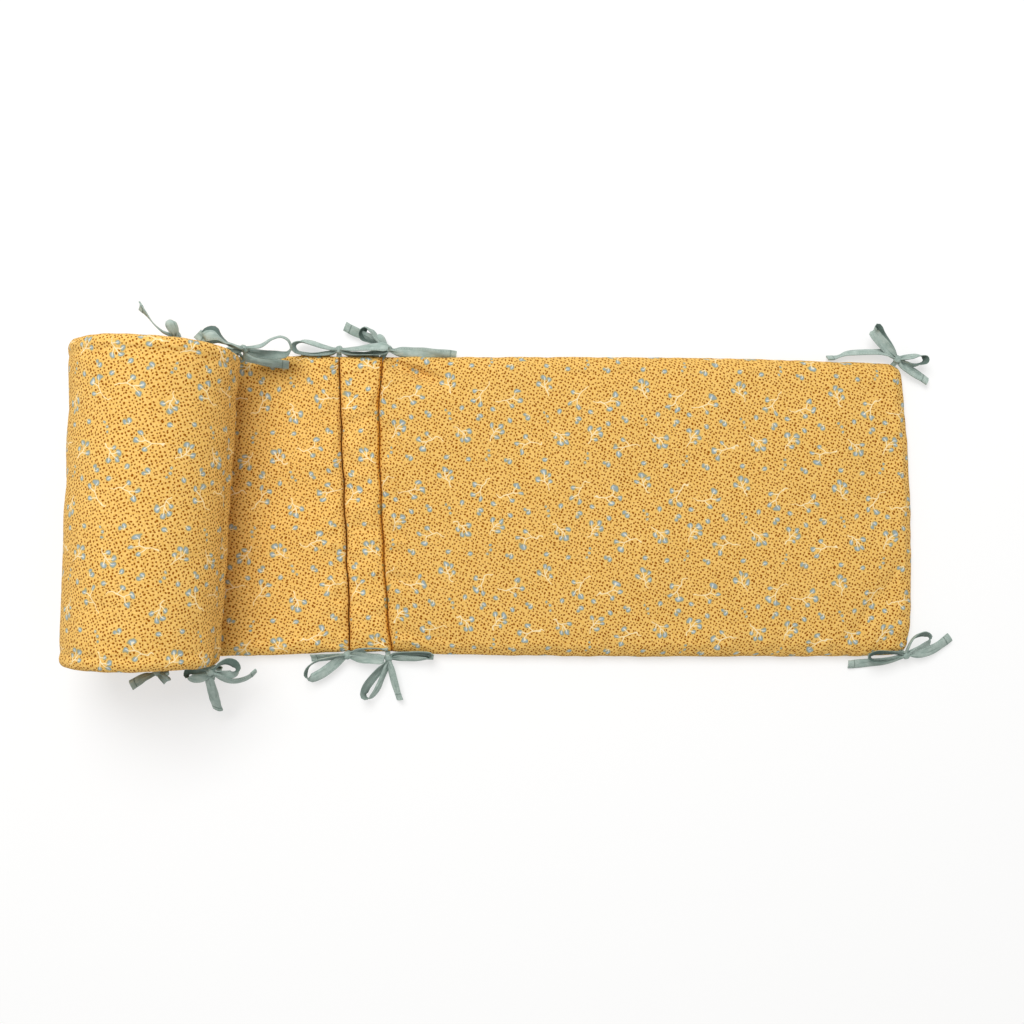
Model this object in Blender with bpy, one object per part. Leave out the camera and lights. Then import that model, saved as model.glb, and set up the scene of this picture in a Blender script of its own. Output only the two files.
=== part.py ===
"""A padded crib bumper, laid out flat with its far end rolled up.

Metres, +Z up. The bumper's long direction is X and its height lies along Y, so
its top edge is at +Y. The flat end panel is at +X. From it the padded strip
runs towards -X: a narrow corner section, the middle panel, then up and round
as the outer turn of the roll, a second corner section, and the far end panel
wound inside. Tape ties, tied in bows, sit on the top and bottom edges.
"""

import math
from collections import namedtuple

import bmesh
import bpy
from mathutils import Vector

# ---------------------------------------------------------------- sizes, metres
PAD = 0.0165  # thickness of the padded strip between its seams
SEAM = 0.0026  # thickness where two covers are sewn together at an edge
CHANNEL = 0.0048  # thickness where padding is stitched through, in a sewn channel
GAP = 0.0004  # between separate pieces
CROWN = 0.0022  # extra height of a flat panel's top towards its middle

END_PANEL_LENGTH = 0.527
CORNER_WIDTH = 0.0425
FLAT_RUN = 0.172  # of the middle panel, from its channel to the line the roll stands on
EDGE_ROUND = 0.017  # how far in from a top or bottom edge the padding reaches full depth
CHANNEL_ROUND = 0.013  # the same beside a sewn channel or an end seam
PANEL_CORNER = 0.017  # radius of the end panel's outer corners

# The roll
ROLL_X = -0.3393  # where the roll stands, at mid height
ROLL_RADIUS = 0.0773  # to the middle of the padding, at the bottom of the outer turn
ROLL_PITCH = 0.0192  # how much the radius falls in each turn
ROLL_SQUASH = 0.89  # height over width, because the roll is soft
ROLL_TILT = 0.057  # sideways lean of the roll's axis, per metre of height
ROLL_TAPER = 0.16  # how much wider the roll is towards the top edge, per metre
ROLL_EASE = 0.10  # length over which the flat strip takes up the roll's lean
MIDDLE_TURN = 262.0  # degrees round at which the middle panel's far channel lies

# Ties
TAPE = 0.011  # width
TAPE_THICK = 0.0011
KNOT = (0.0050, 0.0042, 0.0036)  # half sizes of a knot
ROOT_CLEAR = 0.0007  # from a seam's edge to the tapes that come out of it

# ------------------------------------------------------------- outline sections
# End panel, from the seam at its left to its outer edge: fraction of the length,
# and the top and bottom edges' distance from the mid line.
Across = namedtuple("Across", "along top bottom")
END_PANEL_EDGES = (
    Across(0.00, 0.1480, 0.1420),
    Across(0.03, 0.1500, 0.1440),
    Across(0.10, 0.1508, 0.1462),
    Across(0.25, 0.1510, 0.1475),
    Across(0.50, 0.1507, 0.1486),
    Across(0.75, 0.1488, 0.1484),
    Across(0.88, 0.1465, 0.1484),
    Across(1.00, 0.1445, 0.1470),
)
# Where the seams and the outer edge run, from the bottom edge to the top edge.
Rung = namedtuple("Rung", "height near_seam channel outer")
RUNGS = (
    Rung(-0.150, -0.1192, -0.1630, 0.3925),
    Rung(-0.120, -0.1225, -0.1622, 0.3975),
    Rung(-0.060, -0.1270, -0.1643, 0.3990),
    Rung(0.000, -0.1302, -0.1668, 0.3984),
    Rung(0.060, -0.1322, -0.1697, 0.3955),
    Rung(0.110, -0.1322, -0.1712, 0.3915),
    Rung(0.150, -0.1290, -0.1728, 0.3870),
)
# The strip that leaves the end panel and is rolled up: how far along, and its
# top and bottom edges.
Along = namedtuple("Along", "run top bottom")
STRIP_EDGES = (
    Along(0.000, 0.1478, 0.1418),
    Along(0.020, 0.1500, 0.1430),
    Along(0.0425, 0.1502, 0.1420),
    Along(0.060, 0.1515, 0.1440),
    Along(0.120, 0.1512, 0.1474),
    Along(0.216, 0.1515, 0.1480),
    Along(0.330, 0.1570, 0.1485),
    Along(0.430, 0.1562, 0.1476),
    Along(0.512, 0.1508, 0.1478),
    Along(0.560, 0.1490, 0.1470),
    Along(0.800, 0.1500, 0.1470),
    Along(1.200, 0.1490, 0.1450),
)

# ------------------------------------------------------------------------- ties
# Where each tie's tapes leave the seam (the end panel's corner, or a run along
# the rolled strip), the knot, in millimetres from the origin, and how the knot
# is turned.
Tie = namedtuple("Tie", "name root_on root edge knot_x knot_y knot_z turned")
TIES = (
    Tie("tie_top_1", "corner", 0.0, 1, 386.6, 150.6, 12.0, 20),
    Tie("tie_bottom_1", "corner", 0.0, -1, 395.5, -151.8, 12.5, 20),
    Tie("tie_top_2", "strip", 0.004, 1, -124.5, 159.0, 6.5, 90),
    Tie("tie_bottom_2", "strip", 0.004, -1, -121.5, -151.5, 12.5, 70),
    Tie("tie_top_3", "strip", 0.0425, 1, -172.6, 158.8, 11.5, 10),
    Tie("tie_bottom_3", "strip", 0.0425, -1, -164.6, -149.4, 12.0, 10),
    Tie("tie_top_4", "strip", 0.512, 1, -258.2, 156.6, 62.0, 60),
    Tie("tie_bottom_4", "strip", 0.512, -1, -283.2, -155.2, 87.0, 0),
    Tie("tie_top_5", "strip", 0.557, 1, -273.0, 157.0, 40.0, 60),
    Tie("tie_bottom_5", "strip", 0.557, -1, -288.0, -155.0, 40.0, 60),
    Tie("tie_top_6", "strip", 1.075, 1, -318.0, 157.5, 82.0, 30),
    Tie("tie_bottom_6", "strip", 1.075, -1, -334.0, -153.5, 82.0, 30),
)
# The strands of each bow. heading is the way it points in plan, in degrees from
# +X. reach, sway (to the left of the heading, half way), spread (a loop's
# opening, or a free end's second curve), rise and arch (height at the far end
# and half way) are millimetres. lean is the tape's tilt from lying flat, at the
# knot and at the far end, and turn is how differently a loop's two halves lie.
Strand = namedtuple(
    "Strand", "tie kind heading reach sway spread lean_knot lean_far rise arch turn"
)
STRANDS = (
    Strand("tie_top_1", "loop", 123, 39, 0, 11, 22, 22, 6, 2, 0),
    Strand("tie_top_1", "loop", 2, 31, 0, 11, 62, 70, 1, 1, -12),
    Strand("tie_top_1", "end", 179, 72, -8, 2, 58, 66, -5, 0, 0),
    Strand("tie_top_1", "end", -35, 40, -1, 0, 42, 42, -7, 0, 0),
    Strand("tie_bottom_1", "loop", 43, 32, 1, 16, 78, 74, 0, 0, 6),
    Strand("tie_bottom_1", "end", 17, 57, -5, -1, 30, 24, -7, 3, 0),
    Strand("tie_bottom_1", "loop", 184, 36, 1, 8, -48, -48, 2, 2, -8),
    Strand("tie_bottom_1", "end", 190, 60, -3, 0, -40, -34, -8, -1, 0),
    Strand("tie_top_2", "end", -5, 69, 2, 1, 14, 40, -1, 0, 0),
    Strand("tie_top_2", "end", 150, 49, 4, 0, -30, -38, 1, -1, 0),
    Strand("tie_top_2", "loop", 139, 34, 2, 11, 60, 66, 5, 0, 0),
    Strand("tie_top_2", "loop", 138, 17, -2, 6, 20, 35, 1, 0, 0),
    Strand("tie_bottom_2", "loop", 241, 48, 0, 13, -62, -62, -2, 4, 14),
    Strand("tie_bottom_2", "end", -77, 49, 1, 0, 38, 47, -7, 1, 0),
    Strand("tie_bottom_2", "loop", 1, 43, -2, 8, 46, 56, 3, 3, -6),
    Strand("tie_bottom_2", "end", -4, 26, -3, 0, 50, 60, -4, 0, 0),
    Strand("tie_top_3", "loop", 177, 46, -1, 13, 82, 82, -1, 0, -4),
    Strand("tie_top_3", "loop", 3, 50, -1, 5, 20, 14, 12, 2, 0),
    Strand("tie_top_3", "end", 186, 40, 1, 0, -60, -62, -4, 0, 0),
    Strand("tie_top_3", "end", -7, 33, -1, 0, 52, 52, -5, 0, 0),
    Strand("tie_bottom_3", "loop", 209, 46, -1, 13, 42, 48, -2, 3, -34),
    Strand("tie_bottom_3", "end", 183, 37, -2, 0, -46, -50, -4, 0, 0),
    Strand("tie_bottom_3", "loop", -3, 35, -2, 9, 30, 34, 3, 3, -22),
    Strand("tie_bottom_3", "end", -14, 20, 1, 0, 50, 60, -5, 0, 0),
    Strand("tie_top_4", "loop", 1, 42, 0, 18, 74, 78, -24, -2, -34),
    Strand("tie_top_4", "end", -9, 40, -7, 0, 30, 8, -41, -6, 0),
    Strand("tie_top_4", "loop", 166, 27, -1, 5, 30, 26, 38, 0, 0),
    Strand("tie_top_4", "end", 163, 36, 2, 0, 40, 36, 37, -3, 0),
    Strand("tie_bottom_4", "loop", 12, 28, 2, 14, 72, 66, -10, 0, 18),
    Strand("tie_bottom_4", "end", -5, 38, -9, 0, 36, 80, -30, 0, 0),
    Strand("tie_bottom_4", "end", -101, 45, -1, 0, 26, 8, -57, 6, 0),
    Strand("tie_bottom_4", "loop", 186, 22, -2, 9, -58, -58, -2, 0, -16),
    Strand("tie_top_5", "loop", 20, 16, 0, 7, 60, 60, -3, 0, 0),
    Strand("tie_top_5", "loop", 160, 13, 0, 6, 60, 60, -4, 0, 0),
    Strand("tie_top_5", "end", 60, 8, 0, 0, 80, 80, -26, 0, 0),
    Strand("tie_top_5", "end", 140, 12, 0, 0, 80, 80, -24, 0, 0),
    Strand("tie_bottom_5", "loop", -20, 16, 0, 7, 60, 60, -3, 0, 0),
    Strand("tie_bottom_5", "loop", -160, 13, 0, 6, 60, 60, -4, 0, 0),
    Strand("tie_bottom_5", "end", -60, 8, 0, 0, 80, 80, -26, 0, 0),
    Strand("tie_bottom_5", "end", -140, 12, 0, 0, 80, 80, -24, 0, 0),
    Strand("tie_top_6", "end", 128, 52, 2, 0, 74, 58, -14, 4, 0),
    Strand("tie_top_6", "loop", 98, 23, 0, 6, 16, 20, 0, 1, 0),
    Strand("tie_top_6", "loop", 20, 12, 0, 6, 60, 60, -8, 0, 0),
    Strand("tie_top_6", "end", 70, 11, 0, 0, 70, 70, -24, 0, 0),
    Strand("tie_bottom_6", "end", 211, 33, 1, 0, 58, 18, -8, 0, 0),
    Strand("tie_bottom_6", "loop", -57, 17, 0, 6, 30, 26, -2, 1, 0),
    Strand("tie_bottom_6", "loop", -20, 12, 0, 6, 60, 60, -8, 0, 0),
    Strand("tie_bottom_6", "end", -85, 11, 0, 0, 70, 70, -24, 0, 0),
)

COVER_COLOUR = (0.72, 0.42, 0.09, 1.0)
TAPE_COLOUR = (0.36, 0.45, 0.40, 1.0)
CLOTH_ROUGHNESS = 0.9


# ----------------------------------------------------------------------- helpers
def mm(value):
    return value / 1000.0


def smooth(t):
    t = min(max(t, 0.0), 1.0)
    return t * t * (3.0 - 2.0 * t)


def read(rows, at, column):
    """Value of a table's column at a position in its first column."""
    key = rows[0]._fields[0]
    if at <= getattr(rows[0], key):
        return getattr(rows[0], column)
    for low, high in zip(rows, rows[1:]):
        a, b = getattr(low, key), getattr(high, key)
        if at <= b:
            t = smooth((at - a) / (b - a)) * 0.5 + 0.5 * (at - a) / (b - a)
            return getattr(low, column) * (1 - t) + getattr(high, column) * t
    return getattr(rows[-1], column)


def rounding(distance, reach):
    """Share of full thickness at this distance in from a sewn edge."""
    if distance >= reach:
        return 1.0
    t = max(distance, 0.0) / reach
    return math.sqrt(1.0 - (1.0 - t) ** 2)


def spaced(length, near, count):
    """Stations along a length: close together at both ends, even between."""
    start = [d for d in near if d < length / 2]
    last = start[-1]
    inner = [last + (length - 2 * last) * i / (count + 1) for i in range(1, count + 1)]
    return start + inner + [length - d for d in reversed(start)]


def material(name, colour):
    made = bpy.data.materials.new(name)
    made.use_nodes = True
    shader = made.node_tree.nodes["Principled BSDF"]
    shader.inputs["Base Color"].default_value = colour
    shader.inputs["Roughness"].default_value = CLOTH_ROUGHNESS
    shader.inputs["Metallic"].default_value = 0.0
    return made


def closed_mesh(name, points, faces):
    mesh = bpy.data.meshes.new(name)
    mesh.from_pydata(points, [], faces)
    mesh.update()
    return mesh


def in_triangles(mesh):
    work = bmesh.new()
    work.from_mesh(mesh)
    bmesh.ops.triangulate(work, faces=work.faces[:])
    work.to_mesh(mesh)
    work.free()
    return mesh


def add(name, mesh, finish):
    made = bpy.data.objects.new(name, mesh)
    bpy.context.scene.collection.objects.link(made)
    mesh.materials.clear()
    mesh.materials.append(finish)
    mesh.shade_smooth()
    mesh.set_sharp_from_angle(angle=math.radians(50))
    return made


def slab(name, along, across, place):
    """A closed pad: place(a, c, side) gives its upper (+1) and under (-1) skin."""
    n, m = len(along), len(across)
    points = [place(a, c, side) for side in (1, -1) for a in along for c in across]

    def at(side, i, j):
        return (0 if side > 0 else n * m) + i * m + j

    faces = []
    for i in range(n - 1):
        for j in range(m - 1):
            up = [at(1, i, j), at(1, i + 1, j), at(1, i + 1, j + 1), at(1, i, j + 1)]
            down = [at(-1, i, j), at(-1, i, j + 1), at(-1, i + 1, j + 1), at(-1, i + 1, j)]
            faces += [up, down]
    for j in range(m - 1):
        faces.append([at(1, 0, j), at(1, 0, j + 1), at(-1, 0, j + 1), at(-1, 0, j)])
        last = n - 1
        faces.append([at(1, last, j + 1), at(1, last, j), at(-1, last, j), at(-1, last, j + 1)])
    for i in range(n - 1):
        faces.append([at(1, i + 1, 0), at(1, i, 0), at(-1, i, 0), at(-1, i + 1, 0)])
        last = m - 1
        faces.append([at(1, i, last), at(1, i + 1, last), at(-1, i + 1, last), at(-1, i, last)])
    mesh = closed_mesh(name, points, faces)
    volume = sum(
        mesh.vertices[t.vertices[0]].co.dot(
            mesh.vertices[t.vertices[1]].co.cross(mesh.vertices[t.vertices[2]].co)
        )
        for t in triangles(mesh)
    )
    if volume < 0:
        mesh.flip_normals()
    return mesh


def triangles(mesh):
    mesh.calc_loop_triangles()
    return mesh.loop_triangles


# -------------------------------------------------------------- the padded strip
def edge_depth(height, top, bottom):
    """Share of full thickness between the top and the bottom edge."""
    return rounding(min(top - height, height + bottom), EDGE_ROUND)


def end_panel_place(along, across, side):
    """A point of the flat end panel: along from its seam, across from the bottom."""
    share = along / END_PANEL_LENGTH
    top, bottom = (read(END_PANEL_EDGES, share, c) for c in ("top", "bottom"))
    height = -bottom + across * (top + bottom)
    left = read(RUNGS, height, "near_seam") + GAP
    right = read(RUNGS, height, "outer")
    to_edge = max(min(top - height, height + bottom), 0.0)
    if to_edge < PANEL_CORNER:
        right -= PANEL_CORNER - math.sqrt(PANEL_CORNER**2 - (PANEL_CORNER - to_edge) ** 2)
    x = left + share * (right - left)
    depth = min(
        edge_depth(height, top, bottom) * rounding(along, CHANNEL_ROUND)
        * rounding(END_PANEL_LENGTH - along, EDGE_ROUND),
        1.0,
    )
    return (x, height, level(depth, side) + crowned(share, across, side))


def level(depth, side):
    half = 0.5 * max(PAD * depth, SEAM)
    return PAD / 2 + side * half


def crowned(share, across, side):
    if side < 0:
        return 0.0
    return CROWN * smooth(4 * share * (1 - share)) * smooth(4 * across * (1 - across))


def turn_at(run):
    """Angle round the roll, in radians, at a run past the line it stands on."""
    low, high = 0.0, 60.0
    for _ in range(50):
        middle = (low + high) / 2
        if run_at(middle) < run:
            low = middle
        else:
            high = middle
    return low


def run_at(turn):
    """Length of strip wound on by this angle, with the mean of the oval's radii."""
    radius = ROLL_RADIUS * turn - ROLL_PITCH * turn * turn / (4 * math.pi)
    return radius * math.sqrt((1 + ROLL_SQUASH**2) / 2)


ROLL_START = CORNER_WIDTH + FLAT_RUN  # run at which the strip starts to rise
FAR_CHANNEL = ROLL_START + run_at(math.radians(MIDDLE_TURN))
FAR_SEAM = FAR_CHANNEL + CORNER_WIDTH
STRIP_END = FAR_SEAM + END_PANEL_LENGTH


def strip_line(run):
    """Middle of the padding at a run along the strip: x, z and the way to its upper side."""
    if run <= ROLL_START:
        return None, PAD / 2, (0.0, 1.0)
    turn = turn_at(run - ROLL_START)
    radius = ROLL_RADIUS - ROLL_PITCH * turn / (2 * math.pi)
    x = -radius * math.sin(turn)
    z = ROLL_SQUASH * (ROLL_RADIUS - radius * math.cos(turn)) + PAD / 2
    way = Vector((-math.cos(turn), ROLL_SQUASH * math.sin(turn))).normalized()
    return x, z, (way[1], -way[0])


def strip_depth(run):
    """Share of full thickness along the strip: its seams and sewn channels."""
    ends = rounding(run, CHANNEL_ROUND)
    for seam in (CORNER_WIDTH, FAR_CHANNEL):
        away = rounding(abs(run - seam), CHANNEL_ROUND)
        ends = min(ends, CHANNEL / PAD + (1 - CHANNEL / PAD) * away)
    return min(ends, rounding(abs(FAR_SEAM - run), CHANNEL_ROUND))


def strip_place(run, across, side):
    """A point of the strip that leaves the end panel and is rolled up."""
    top, bottom = (read(STRIP_EDGES, run, c) for c in ("top", "bottom"))
    height = -bottom + across * (top + bottom)
    depth = edge_depth(height, top, bottom) * strip_depth(run)
    depth *= rounding(STRIP_END - run, CHANNEL_ROUND)
    half = 0.5 * max(PAD * depth, SEAM)
    offset, z, way = strip_line(run)
    ease = smooth((run - (ROLL_START - ROLL_EASE)) / ROLL_EASE)
    scale = 1 + ROLL_TAPER * height * ease
    stand = ROLL_X + ROLL_TILT * height
    if offset is None:
        near, channel = (read(RUNGS, height, c) for c in ("near_seam", "channel"))
        if run < CORNER_WIDTH:
            x = near + (channel - near) * run / CORNER_WIDTH
        else:
            x = channel + (stand - channel) * (run - CORNER_WIDTH) / FLAT_RUN
        rise = CROWN * 0.6 if side > 0 else 0.0
        rise *= smooth(4 * across * (1 - across)) * smooth((ROLL_START - run) / 0.08)
        rise *= smooth(abs(run - CORNER_WIDTH) / 0.03)
        return (x, height, (z + side * half) * scale + rise)
    x = stand + (offset + side * half * way[0]) * scale
    return (x, height, (z + side * half * way[1]) * scale)


# -------------------------------------------------------------------------- ties
def ribbon(name, centres, widths, gathers=(), thick=TAPE_THICK, width=TAPE):
    """A closed flat tape along the centres, its width along the given ways."""
    points, last = [], len(centres) - 1
    for i, centre in enumerate(centres):
        wide_here = width * gathered(i, last, gathers)
        way = (centres[min(i + 1, last)] - centres[max(i - 1, 0)]).normalized()
        wide = (widths[i] - widths[i].dot(way) * way).normalized()
        face = way.cross(wide)
        for a, b in ((-1, -1), (1, -1), (1, 1), (-1, 1)):
            points.append(centre + wide * a * wide_here / 2 + face * b * thick / 2)
    faces = [[3, 2, 1, 0], [4 * last + k for k in range(4)]]
    for i in range(last):
        for k in range(4):
            faces.append(
                [4 * i + k, 4 * i + (k + 1) % 4, 4 * i + 4 + (k + 1) % 4, 4 * i + 4 + k]
            )
    return in_triangles(closed_mesh(name, points, faces))


def gathered(i, last, gathers):
    """Share of a tape's width where the knot draws it in, at the given ends."""
    share = 1.0
    if "start" in gathers:
        share = min(share, (0.42, 0.86)[i] if i < 2 else 1.0)
    if "finish" in gathers:
        share = min(share, (0.42, 0.86)[last - i] if last - i < 2 else 1.0)
    return share


def frame_of(heading):
    angle = math.radians(heading)
    ahead = Vector((math.cos(angle), math.sin(angle), 0))
    return ahead, Vector((-ahead.y, ahead.x, 0)), Vector((0, 0, 1))


def end_route(strand, knot, steps):
    """Centres and width ways of a free end, from inside the knot outwards."""
    ahead, left, up = frame_of(strand.heading)
    centres, widths = [], []
    for i in range(steps + 1):
        t = i / steps
        side = mm(strand.sway) * math.sin(math.pi * t) + mm(strand.spread) * math.sin(2 * math.pi * t)
        high = mm(strand.rise) * smooth(t) + mm(strand.arch) * math.sin(math.pi * t)
        lean = math.radians(strand.lean_knot + (strand.lean_far - strand.lean_knot) * t)
        centres.append(knot + ahead * mm(strand.reach) * t + left * side + up * high)
        widths.append(left * math.cos(lean) + up * math.sin(lean))
    return centres, widths


def loop_route(strand, knot, steps):
    """Centres and width ways of a loop, out from the knot and back to it."""
    ahead, left, up = frame_of(strand.heading)
    centres, widths = [], []
    for i in range(steps + 1):
        t = i / steps
        out = 0.5 - 0.5 * math.cos(2 * math.pi * t)
        wide = math.sin(2 * math.pi * t) * math.sin(math.pi * t) ** 1.2 * 0.62
        apart = mm(strand.spread) * wide + TAPE_THICK * 1.3 * math.cos(math.pi * t)
        lean = math.radians(strand.lean_knot + (strand.lean_far - strand.lean_knot) * out)
        opens = up * math.cos(lean) + left * math.sin(lean)
        turn = math.radians(strand.turn) * math.cos(math.pi * t) * math.sin(math.pi * t) * 2
        tilt = lean + turn
        across = ahead.cross(up * math.cos(tilt) + left * math.sin(tilt))
        side = mm(strand.sway) * math.sin(math.pi * out)
        high = mm(strand.rise) * out + mm(strand.arch) * math.sin(math.pi * out)
        centres.append(
            knot + ahead * mm(strand.reach) * out + opens * apart + left * side + up * high
        )
        widths.append(across)
    return centres, widths


def edge_point(tie):
    """Where a tie's tapes come out of the seam, the way out and the way along it."""
    if tie.root_on == "corner":
        last = END_PANEL_EDGES[-1]
        rim = last.top if tie.edge > 0 else -last.bottom
        middle = Vector((read(RUNGS, rim, "outer") - PANEL_CORNER, rim - tie.edge * PANEL_CORNER, PAD / 2))
        out = knot_at(tie) - middle
        out.z = 0.0
        out.normalize()
        return middle + out * PANEL_CORNER, out, Vector((-out.y, out.x, 0))
    across = 1.0 if tie.edge > 0 else 0.0

    def middle_at(run):
        return (Vector(strip_place(run, across, 1)) + Vector(strip_place(run, across, -1))) / 2

    along = (middle_at(tie.root + 0.001) - middle_at(tie.root - 0.001)).normalized()
    return middle_at(tie.root), Vector((0, tie.edge, 0)), along


def knot_mesh(name, tie):
    sides, rings = 6, 3
    turned = math.radians(tie.turned)
    points = []
    for r in range(1, rings):
        polar = math.pi * r / rings
        for s in range(sides):
            round_ = 2 * math.pi * s / sides
            x = KNOT[0] * math.sin(polar) * math.cos(round_)
            y = KNOT[1] * math.sin(polar) * math.sin(round_)
            points.append(
                Vector(
                    (
                        x * math.cos(turned) - y * math.sin(turned),
                        x * math.sin(turned) + y * math.cos(turned),
                        KNOT[2] * math.cos(polar),
                    )
                )
            )
    points += [Vector((0, 0, KNOT[2])), Vector((0, 0, -KNOT[2]))]
    top, low = len(points) - 2, len(points) - 1
    faces = []
    for s in range(sides):
        n = (s + 1) % sides
        faces.append([top, s, n])
        faces.append([low, (rings - 2) * sides + n, (rings - 2) * sides + s])
        for r in range(rings - 2):
            a, b = r * sides, (r + 1) * sides
            faces.append([a + s, b + s, b + n, a + n])
    knot = knot_at(tie)
    return in_triangles(closed_mesh(name, [knot + p for p in points], faces))


def outer_skin(mesh):
    """The mesh without the small voids that tapes leave between them inside a knot."""
    work = bmesh.new()
    work.from_mesh(mesh)
    unseen, groups = set(work.faces), []
    while unseen:
        group, edge = set(), [unseen.pop()]
        while edge:
            face = edge.pop()
            group.add(face)
            near = {f for e in face.edges for f in e.link_faces} & unseen
            unseen -= near
            edge += near
        groups.append(group)
    keep = max(groups, key=lambda g: sum(f.calc_area() for f in g))
    inner = [f for g in groups if g is not keep for f in g]
    bmesh.ops.delete(work, geom=inner, context="FACES")
    work.to_mesh(mesh)
    work.free()
    return mesh


def knot_at(tie):
    return Vector((mm(tie.knot_x), mm(tie.knot_y), mm(tie.knot_z)))


def tie_mesh(tie):
    """One bow as one solid: its knot joined with its tapes."""
    knot = knot_at(tie)
    root, out, along = edge_point(tie)
    meshes = []
    # The two tapes lie on each other from the seam to the knot, drawn in narrow.
    way = (knot - root).normalized()
    flat = along if abs(along.dot(way)) < 0.8 else out.cross(along)
    wide = (flat - flat.dot(way) * way).normalized()
    reach = TAPE * 0.2 * abs(wide.dot(out)) + TAPE_THICK * abs(way.cross(wide).dot(out))
    start = root + out * (reach + ROOT_CLEAR)
    meshes.append(
        ribbon("tapes", [start, knot], [flat] * 2, thick=2 * TAPE_THICK, width=TAPE * 0.4)
    )
    for strand in (s for s in STRANDS if s.tie == tie.name):
        if strand.kind == "loop":
            centres, widths = loop_route(strand, knot, 8 if strand.reach > 24 else 5)
            gathers = ("start", "finish")
        else:
            centres, widths = end_route(strand, knot, 4 if strand.reach > 45 else 3)
            gathers = ("start",)
        meshes.append(ribbon(strand.kind, centres, widths, gathers))
    base = bpy.data.objects.new("knot", knot_mesh("knot", tie))
    bpy.context.scene.collection.objects.link(base)
    others = []
    for mesh in meshes:
        other = bpy.data.objects.new("strand", mesh)
        bpy.context.scene.collection.objects.link(other)
        join = base.modifiers.new("join", "BOOLEAN")
        join.operation, join.object, join.solver = "UNION", other, "MANIFOLD"
        others.append(other)
    bpy.context.view_layer.update()
    graph = bpy.context.evaluated_depsgraph_get()
    joined = bpy.data.meshes.new_from_object(base.evaluated_get(graph))
    for temporary in [base] + others:
        bpy.data.objects.remove(temporary, do_unlink=True)
    joined.name = tie.name
    return outer_skin(joined)


# -------------------------------------------------------------------------- build
def main():
    for old in list(bpy.data.objects):
        bpy.data.objects.remove(old, do_unlink=True)

    end_cover = material("end_cover", COVER_COLOUR)
    strip_cover = material("strip_cover", COVER_COLOUR)
    far_cover = material("far_cover", COVER_COLOUR)
    tape = material("tape", TAPE_COLOUR)

    near = (0.0, 0.0025, 0.0070, 0.0135)
    heights = [d / 0.3 for d in spaced(0.3, (0.0, 0.0022, 0.0070, 0.0145), 3)]
    coarse = [d / 0.3 for d in spaced(0.3, (0.0, 0.0025, 0.0080, 0.0170), 0)]

    add("end_panel", slab("end_panel", spaced(END_PANEL_LENGTH, near, 7), heights, end_panel_place), end_cover)

    flat = [d for d in spaced(CORNER_WIDTH, near, 1)]
    flat += [CORNER_WIDTH + d for d in near[1:]]
    flat += [CORNER_WIDTH + 0.0135 + (FLAT_RUN - 0.0135) * i / 6 for i in range(1, 7)]
    turns = [ROLL_START + run_at(math.radians(a)) for a in range(12, int(MIDDLE_TURN) - 12, 12)]
    rolled = [FAR_CHANNEL - d for d in reversed(near[1:])] + [FAR_CHANNEL + d for d in spaced(CORNER_WIDTH, near, 1)]
    runs = flat + [t for t in turns if t < rolled[0] - 0.004] + rolled
    runs[-1] -= GAP / 2
    add("middle_panel", slab("middle_panel", runs, heights, strip_place), strip_cover)

    start, end = FAR_SEAM + GAP / 2, STRIP_END
    length = end - start
    first = turn_at(start - ROLL_START)
    last = turn_at(end - ROLL_START)
    steps = 46
    inner = [ROLL_START + run_at(first + (last - first) * i / steps) for i in range(1, steps)]
    close = [start + d for d in near] + [end - d for d in reversed(near)]
    runs = sorted(close + [r for r in inner if start + 0.019 < r < end - 0.019])
    add("rolled_end_panel", slab("rolled_end_panel", runs, coarse, strip_place), far_cover)

    for tie in TIES:
        add(tie.name, tie_mesh(tie), tape)


main()
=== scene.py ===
"""Looks of a padded crib bumper: one end laid flat, the rest rolled up, tape ties in bows.

Metres, in the part's own frame: +X along the bumper, +Y towards its top edge, +Z up.
"""

import math

import bmesh
import bpy
import numpy as np
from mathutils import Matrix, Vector


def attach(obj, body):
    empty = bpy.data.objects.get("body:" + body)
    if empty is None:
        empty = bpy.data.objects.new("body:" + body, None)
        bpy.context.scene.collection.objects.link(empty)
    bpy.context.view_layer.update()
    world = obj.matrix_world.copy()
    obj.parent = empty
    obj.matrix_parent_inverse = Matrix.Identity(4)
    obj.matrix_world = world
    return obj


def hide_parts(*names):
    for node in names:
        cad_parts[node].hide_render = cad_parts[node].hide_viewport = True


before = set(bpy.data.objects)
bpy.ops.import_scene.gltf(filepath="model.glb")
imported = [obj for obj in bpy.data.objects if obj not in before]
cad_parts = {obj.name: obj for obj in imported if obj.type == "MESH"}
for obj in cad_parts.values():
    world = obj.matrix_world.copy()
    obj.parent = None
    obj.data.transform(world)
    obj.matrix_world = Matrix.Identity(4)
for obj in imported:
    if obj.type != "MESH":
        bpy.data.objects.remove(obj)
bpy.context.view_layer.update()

# ------------------------------------------------------------------ sizes, metres
PAD = 0.0165
SEAM = 0.0022
CHANNEL = 0.0030
GAP = 0.0003
CROWN = 0.0026
END_PANEL_LENGTH = 0.527
CORNER_WIDTH = 0.0425
FLAT_RUN = 0.172
EDGE_ROUND = 0.015
ROLL_EDGE_ROUND = 0.0065
CHANNEL_ROUND = 0.010
SEAM_FLOOR = 0.60  # how much of its height the end panel's upper skin keeps beside its seam
STRIP_SEAM_FLOOR = 0.42
CHANNEL_FLOOR = 0.14
PANEL_CORNER = 0.0115
ROLL_X = -0.3393
ROLL_RADIUS = 0.0773
ROLL_PITCH = 0.0192
ROLL_SQUASH = 0.89
ROLL_TILT = 0.057
ROLL_TAPER = 0.16
ROLL_EASE = 0.10
MIDDLE_TURN = 262.0
TAPE = 0.0104
TAPE_THICK = 0.0009

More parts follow.
